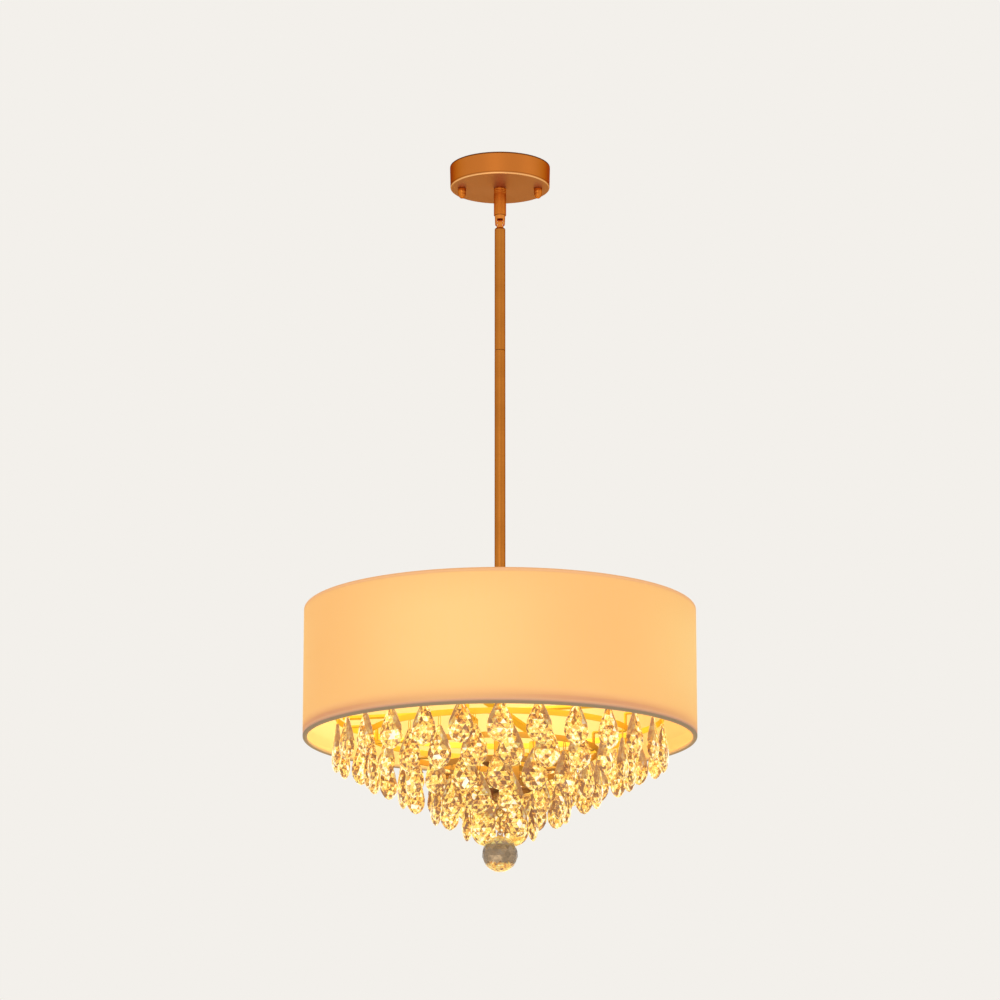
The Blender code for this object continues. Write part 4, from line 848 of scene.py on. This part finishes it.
glass_profile = np.concatenate([[(0, -0.0180), (0.0058, -0.0170), (0.0060, -0.0010)],
                                points_at(GLASS_RADIUS * flame, GLASS_LENGTH * fine)])


def laid_out(shape, start, direction):
    """A lathe shape laid along +X from a start, at lamp height, then turned to a direction."""
    x, y, z = shape[0].T
    return points_at(z + start, y, LAMP_HEIGHT - x) @ turns_about_z(direction)[0].T, shape[1]


for number, direction in enumerate(BULB_DIRECTIONS, 1):
    sleeve = laid_out(lathe(socket_profile, 40), SOCKET_START, direction)
    dressed("lamp_socket_%d" % number, [sleeve], "lamp", "socket", socket_paint)
    glass = laid_out(lathe(glass_profile, 36, closed=False), GLASS_START, direction)
    dressed("bulb_%d" % number, [glass], "lamp", "bulb", bulb_paint)

# %% [markdown]
# ## The stepped frame
#
# Under the bulbs a flat cross carries four strips bent into stairs. Each riser backs one tier's
# ring. A real strip can't have a sharp bend, so the path's corners are rounded before the strip's
# section runs along it.

# %% Ribs
TIER_RADII = 0.190 - 0.038 * np.arange(5)
RING_HEIGHT, RING_THICKNESS = 0.0070, 0.0012
STRIP, STRIP_HALF_WIDTH = 0.0020, 0.004
ring_foot = np.array([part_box("crystal_tier_%d" % tier)[1].z - RING_HEIGHT for tier in range(1, 6)])
middle = TIER_RADII - RING_THICKNESS / 2 - 0.0011 - STRIP / 2
treads = ring_foot + STRIP / 2
heads = np.concatenate([[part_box("frame_rib_1")[1].z], treads[:-1]])
stairs = points_at(middle[:, None], 0, points_at(heads, treads)).reshape(-1, 3)
stairs = np.concatenate([stairs, [(0.0076, 0, treads[-1])]])
stair_path = rounded(stairs, 0.0022, 5, closed=False)
strip_corners = np.array([(-1, -1), (1, -1), (1, 1), (-1, 1)]) * (STRIP / 2, STRIP_HALF_WIDTH)
rib_shape = sweep(stair_path, rounded(strip_corners, 0.0004, 3), (0, 1, 0))
for number, direction in enumerate(BULB_DIRECTIONS, 1):
    rib = repeated(rib_shape, turns_about_z(direction))
    dressed("frame_rib_%d" % number, [rib], "lamp", "gold", frame_gold)

# %% [markdown]
# ## Cut crystal
#
# A drop is a pear with a narrow, drilled top, a full lower third and a round end. It is ground into
# facets: rings of corners, each turned by half a step against the one above it, make rows of
# triangles that throw light in many directions. That light is painted, and the drops glow with it:
# lit by warm bulbs, most facets are honey yellow. Painted dark veins and edges part them as shade,
# some near the bulbs turn amber as painted glints, and one spot on some drops is a painted white
# highlight. One upper edge of each drop is painted in shade, because the light of the bulbs passes it by.

# %% Crystal finish
# Painted light: tones of glass lit by the bulbs, from shaded brown to a painted white highlight.
GLINTS = ((0.00, srgb(124, 84, 60)), (0.10, srgb(170, 118, 74)), (0.20, srgb(214, 150, 80)),
          (0.32, srgb(241, 184, 90)), (0.46, srgb(253, 212, 102)), (0.62, srgb(255, 236, 122)),
          (0.80, srgb(255, 250, 160)), (0.94, srgb(255, 255, 236)))
# Painted shade on one upper edge, painted amber glints near the bulbs and painted white flashes.
EDGE_SHADE, AMBER_GLINT, FLASH = srgb(150, 114, 84), srgb(236, 146, 22), srgb(255, 255, 248)
GLASS_DARK = (0.10, 0.065, 0.035)
GLASS_IOR = 1.52
HIGH_UP = (-0.780, -0.660)

crystal = Paint("cut_crystal", roughness=0.04, transmission_weight=0.40, specular_ior_level=0.22,
                ior=GLASS_IOR)
facet, depth, side, flash = (crystal.facet_level(name) for name in ("facet", "depth", "side", "flash"))
# Painted glints; dark veins and dark edges as painted shade; the tone is lighter towards each drop's bottom
# and high up near the bulbs.
glint = crystal.cells(280.0) * 0.72 + crystal.cells(640.0) * 0.28
shaded_veins = 1 - crystal.cell_edges(300.0).between(0.03, 0.16)
edge = side.maths("ABSOLUTE").between(0.84, 0.97)
high_up = crystal.axes()[2].between(*HIGH_UP)
tone = (facet * 0.48 + glint * 0.52 - 0.5) * 1.80 + 0.39 + (depth - 0.5) * 0.26
tone = tone - edge * 0.36 - shaded_veins * 0.16 + high_up * 0.16
shaded_edge = side.between(0.40, 0.55) * (1 - depth.between(0.50, 0.62))
amber_glint = crystal.cells(230.0).between(0.80, 0.86) * high_up * (1 - tone.between(0.50, 0.75))
colour = crystal.mix(amber_glint * 0.85, crystal.ramp(tone, GLINTS), AMBER_GLINT)
colour = crystal.mix(shaded_edge * 0.85, colour, EDGE_SHADE)
colour = crystal.mix(flash, colour, FLASH)
crystal.set("Base Color", crystal.mix(0.55, colour, GLASS_DARK))
# The drops glow with this painted light, though they are no lamp.
crystal.glow(colour, 0.72)


def facet_centres(thing):
    """The middle of every facet."""
    centres = np.empty(len(thing.data.polygons) * 3)
    thing.data.polygons.foreach_get("center", centres)
    return centres.reshape(-1, 3)


def tone_facets(thing, seed, **levels):
    """Give each facet of a piece a random number, 0 to 1, and its own number from each array of levels."""
    sizes = np.empty(len(thing.data.polygons), dtype=np.int32)
    thing.data.polygons.foreach_get("loop_total", sizes)
    facet = np.random.default_rng(seed).random(len(sizes))
    for name, values in {"facet": facet, **levels}.items():
        layer = thing.data.attributes.new(name=name, type="FLOAT", domain="CORNER")
        layer.data.foreach_set("value", np.repeat(values, sizes).astype(np.float32))


print("nodes in the crystal:", len(crystal.tree.nodes))

# %% Facets from rings of corners
DROP_LENGTH, DROP_WIDTH, DROP_DEPTH, LINK = 0.0500, 0.0310, 0.0118, 0.0100


def faceted(levels, half_widths, half_depths, sides, flatten=1.0):
    """Rings of corners at the levels, each turned half a step, joined by triangles.

    Ring i, corner k is (w_i cos a, d_i sign(sin a) |sin a|^f, z_i) with a = 2 pi (k + i / 2) / sides."""
    ring, corner = np.arange(len(levels))[:, None], np.arange(sides)
    angle = math.tau * (corner + ring / 2) / sides
    across = np.sign(np.sin(angle)) * np.abs(np.sin(angle)) ** flatten
    points = points_at(half_widths[:, None] * np.cos(angle), half_depths[:, None] * across, levels[:, None])
    here = (ring[:-1] * sides + corner).ravel()
    after = (ring[:-1] * sides + (corner + 1) % sides).ravel()
    down = np.stack([here, after, here + sides], axis=-1)
    up = np.stack([after, after + sides, here + sides], axis=-1)
    return points.reshape(-1, 3), np.concatenate([down, up])


drop_share = np.array([0.0, 0.02, 0.12, 0.24, 0.36, 0.48, 0.59, 0.70, 0.80, 0.89, 0.96, 1.0])
drop_width = np.array([0.0, 0.17, 0.34, 0.55, 0.74, 0.89, 0.98, 1.0, 0.91, 0.70, 0.42, 0.0]) * DROP_WIDTH / 2
drop_depth = np.array([0.0, 0.30, 0.42, 0.58, 0.74, 0.88, 0.97, 1.0, 0.92, 0.72, 0.42, 0.0]) * DROP_DEPTH / 2
drop_shape = faceted(-LINK - drop_share * DROP_LENGTH, drop_width, drop_depth, 12, 0.75)
print("facets in a drop:", len(drop_shape[1]))

# %% [markdown]
# Each tier is a strip ring with its drops hung on it by small wire links. The counts follow the
# photograph. No two drops hang quite alike, so each is twisted a little about its link.

# %% Tiers
TIER_COUNTS = (27, 23, 18, 13, 6)
TIER_SHARES = (0.0, 0.3, 0.0, 0.33, 0.5)
TWIST, TWIST_SEED = 7.0, 5
LINK_WIRE, LINK_MIDDLE = 0.0005, -0.0049
FLASH_CHANCE, FLASH_REACH = 0.34, 0.0034
FLASH_SPOTS = ((-0.008, -0.052), (0.008, -0.036))
link_turn = np.linspace(0, math.tau, 14, endpoint=False)
link_path = points_at(0.0016 * np.cos(link_turn), 0, LINK_MIDDLE + 0.0061 * np.sin(link_turn))
link_shape = sweep(link_path, ring_of(LINK_WIRE, 6), (0, 1, 0), closed=True)
chance = random.Random(TWIST_SEED)
for tier, (count, share, radius, foot) in enumerate(zip(TIER_COUNTS, TIER_SHARES, TIER_RADII, ring_foot), 1):
    node = "crystal_tier_%d" % tier
    directions = -90.0 + (np.arange(count) + share) * 360.0 / count
    shifts = turns_about_z(directions) @ (radius, 0, 0) + (0, 0, foot)
    twist = [chance.uniform(-TWIST, TWIST) for _ in range(count)]
    twisted = turns_about_z(directions + 90.0 + twist)
    drops = piece("drops_%d" % tier, [repeated(drop_shape, twisted, shifts)], sharp=None)
    centres = facet_centres(drops)
    owner = np.linalg.norm(centres[:, None, :2] - shifts[None, :, :2], axis=2).argmin(axis=1)
    local = np.einsum("nij,ni->nj", twisted[owner], centres - shifts[owner])
    depth = np.clip((-LINK - local[:, 2]) / DROP_LENGTH, 0, 1)
    half_width = np.interp(depth, drop_share, np.maximum(drop_width, 0.001))
    # Each drop gets one side whose upper edge is painted in shade, and some drops get one spot painted as a
    # white highlight.
    shaded_side = np.random.default_rng(tier).choice([-1, 1], count)[owner]
    spots = np.random.default_rng(tier + 40).uniform(*FLASH_SPOTS, (count, 2))[owner]
    flashing = np.random.default_rng(tier + 60).random(count)[owner] < FLASH_CHANCE
    flash = flashing & (np.hypot(*(local[:, [0, 2]] - spots).T) < FLASH_REACH)
    tone_facets(drops, tier, depth=depth, side=shaded_side * local[:, 0] / half_width, flash=flash)
    dress(drops, "lamp", [node], "crystal", crystal)
    links = piece("links_%d" % tier, [repeated(link_shape, twisted, shifts)])
    dress(links, "lamp", [node], "gold", frame_gold)
    inner, outer, top = radius - RING_THICKNESS / 2, radius + RING_THICKNESS / 2, foot + RING_HEIGHT
    band = lathe(rounded([(outer, top), (outer, foot), (inner, foot), (inner, top)], 0.0003, 3), 144)
    dress(piece("tier_ring_%d" % tier, [band]), "lamp", [node], "gold", frame_gold)

# %% [markdown]
# ## Finial, hook and ball
#
# The finial nut closes the stack, and its drilled tang carries a wire hook with an eye at each end,
# the lower one a quarter turn from the upper one. The ball hangs in it by a drilled ear. Its middle
# is clear, the bulbs' light is painted on its lower third as sparks, and a little of it on its top.

# %% Hook
HOOK_TOP, HOOK_FOOT = frame["joints"][2]["pos_m"][2], frame["joints"][3]["pos_m"][2]
HOOK_WIRE = 0.0008
EYE_WIDTH, EYE_HEIGHT, EYE_POINTS = 0.0080, 0.0100, 24


def eye(top, down, quarter):
    """A wire oval whose bar lies at a height. For the quarter turn it runs along Y instead of X."""
    turn = math.tau * (np.arange(EYE_POINTS) + 0.5) / EYE_POINTS
    across = EYE_WIDTH / 2 * np.sin(turn)
    height = top - down * EYE_HEIGHT / 2 * (math.cos(math.pi / EYE_POINTS) - np.cos(turn))
    path = points_at(0, across, height) if quarter else points_at(across, 0, height)
    return sweep(path, ring_of(HOOK_WIRE, 10), (1, 0, 0) if quarter else (0, 1, 0), closed=True)


shank_top, shank_foot = HOOK_TOP - EYE_HEIGHT + HOOK_WIRE / 2, HOOK_FOOT + EYE_HEIGHT - HOOK_WIRE / 2
shank = sweep(points_at(0, 0, np.linspace(shank_top, shank_foot, 8)), ring_of(HOOK_WIRE, 10), (0, 1, 0))
hook_shapes = [eye(HOOK_TOP, 1, False), eye(HOOK_FOOT, -1, True), shank]
dressed("ball_hook", hook_shapes, "ball_hook", "gold", frame_gold)

# %% Ball
BALL_RADIUS = 0.02075
BALL_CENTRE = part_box("crystal_ball")[0].z + BALL_RADIUS
BALL_PALE, BALL_DARK, BALL_DIM = (0.50, 0.36, 0.215), (0.25, 0.175, 0.10), (0.02, 0.014, 0.008)
bands = np.linspace(0, math.pi, 12)
girth = BALL_RADIUS * np.sin(bands)
ball_shape = faceted(BALL_CENTRE + BALL_RADIUS * np.cos(bands), girth, girth, 14)
ball = piece("ball_dressed", [ball_shape], sharp=None)
tone_facets(ball, 21)
ball_paint = Paint("ball_crystal", roughness=0.02, transmission_weight=0.80, specular_ior_level=0.25,
                   ior=GLASS_IOR)
facet = ball_paint.facet_level("facet")
height = ball_paint.axes()[2] - BALL_CENTRE + (facet - 0.5) * 0.004
glint = ball_paint.ramp((facet * 0.5 + ball_paint.cells(420.0) * 0.5) * 1.1 - 0.10, GLINTS)
# Painted light: the lower third and the top glow with painted sparks of the bulbs' light, and the clear
# middle glows only dimly.
lit = 1 - height.between(-0.0140, -0.0115) + height.between(0.0095, 0.0125) * 0.6
clear = ball_paint.mix(facet, BALL_PALE, BALL_DARK)
ball_paint.set("Base Color", ball_paint.mix(lit, clear, ball_paint.mix(0.4, glint, GLASS_DARK)))
ball_paint.glow(ball_paint.mix(lit, BALL_DIM, glint), 0.60)
dress(ball, "ball", ["crystal_ball"], "crystal", ball_paint)

# %% The ball's ear
EAR_RADIUS, EAR_FOOT, EAR_BORE, EAR_HALF = 0.0035, 0.0048, 0.0017, 0.0012
EAR_HOLE = HOOK_FOOT - 0.0004
crown = oval(EAR_RADIUS, EAR_RADIUS, np.linspace(0, math.pi, 13))
outer = np.concatenate([crown, [(-EAR_RADIUS, -EAR_FOOT), (EAR_RADIUS, -EAR_FOOT)]])
inner = oval(EAR_BORE, EAR_BORE, np.arctan2(outer[:, 1], outer[:, 0]))
loop = ((outer, -EAR_HALF), (outer, EAR_HALF), (inner, EAR_HALF), (inner, -EAR_HALF))
rows = [points_at(outline[:, 0], depth, EAR_HOLE + outline[:, 1]) for outline, depth in loop]
ear = piece("ball_ear", [(np.concatenate(rows), grid_faces(4, len(outer), wrap_rows=True))])
dress(ear, "ball", ["crystal_ball"], "gold", frame_gold)

# %% [markdown]
# ## Solid nodes that stay
#
# Nuts, studs, tubes, the cross and the finial have the right shape already. They only need their metal.

# %% Finishes for the solid nodes
STEEL_NODES = ["mounting_bar", "canopy_stud_left", "canopy_stud_right", "stud_nut_left", "stud_nut_right",
               "canopy_lock_nut", "canopy_nipple", "rod_coupler", "centre_tube", "spider_lock_nut"]
STEEL_NODES += ["socket_arm_%d" % number for number in range(1, 5)]
GOLD_NODES = ["frame_cross", "frame_base_plate", "finial"]
for nodes, paint in ((STEEL_NODES, zinc), (GOLD_NODES, frame_gold)):
    for name in nodes:
        for slot_of_node in frame["nodes"][name].material_slots:
            slot_of_node.material = paint.material
print(len(STEEL_NODES) + len(GOLD_NODES), "solid nodes keep their shape")

# %% [markdown]
# ## The studio
#
# One broad lamp in front and one behind give the drum its soft fall-off towards the sides, and two
# weak ones fill in from the right and from below. World and floor are pale where the camera sees
# them, also in glossy metal or through glass. As light they are dimmer, so that colours come out as
# they are mixed. Two small points of light at each bulb throw its warmth into the shade.

# %% World and floor
PALE = srgb(243, 240, 235)
world = bpy.data.worlds.new("studio")
bpy.context.scene.world = world
world.use_nodes = True
world.node_tree.nodes.clear()
sky = Nodes(world.node_tree)
as_light = sky.node("Background", sockets={"Color": (1.0, 0.97, 0.93), "Strength": 0.06})
as_seen = sky.node("Background", sockets={"Color": PALE})
both = sky.node("MixShader", sockets={0: sky.plainly_seen(), 1: as_light, 2: as_seen})
sky.fill(sky.tree.nodes.new("ShaderNodeOutputWorld").inputs["Surface"], both)

FLOOR_HALF, FLOOR_HEIGHT = 9, -2.5
corners = np.array([(-1, -1), (1, -1), (1, 1), (-1, 1)]) * FLOOR_HALF
floor_mesh = bpy.data.meshes.new("floor")
floor_mesh.from_pydata(points_at(*corners.T, FLOOR_HEIGHT).tolist(), [], [(0, 1, 2, 3)])
floor = placed("floor", floor_mesh)
floor_paint = Paint("pale_floor", base_color=PALE, roughness=0.8)
floor_paint.glow(floor_paint.mix(floor_paint.plainly_seen(), (0.27, 0.26, 0.25), PALE), 0.88)
floor.data.materials.append(floor_paint.material)
bpy.context.scene.view_settings.view_transform = "Standard"

# %% Lamps
STUDIO_LAMPS = {"key": ((-0.7, -3.4, -0.4), 1.6, 9), "fill": ((2.6, -1.0, 0.2), 1.6, 1.8),
                "back": ((0.8, 3.0, 0.6), 1.8, 9), "low": ((0.0, -1.2, -2.2), 1.2, 1.5)}
DRUM_MIDDLE = (0, 0, -0.5)
BULB_POWER, BULB_SIZE, BULB_REACH, BULB_RISE = 0.06, 0.012, 0.110, 0.032


def lamp(name, kind, place, power, colour):
    """A lamp of a kind at a place."""
    data = bpy.data.lights.new(name, kind)
    data.energy = power
    data.color = colour
    thing = placed(name, data)
    thing.location = place
    return thing


for name, (place, size, power) in STUDIO_LAMPS.items():
    square = lamp(name, "AREA", place, power, (1.0, 0.97, 0.92))
    square.data.size = size
    x, y, z = np.array(DRUM_MIDDLE) - place
    square.rotation_euler = (math.acos(-z / math.hypot(x, y, z)), 0, math.atan2(y, x) - math.pi / 2)
for turned in turns_about_z(BULB_DIRECTIONS):
    for rise in (BULB_RISE, -BULB_RISE):
        place = turned @ (BULB_REACH, 0, LAMP_HEIGHT + rise)
        lamp("bulb_light", "POINT", place, BULB_POWER, (1.0, 0.78, 0.46)).data.shadow_soft_size = BULB_SIZE
print(len(bpy.data.lights), "lamps")
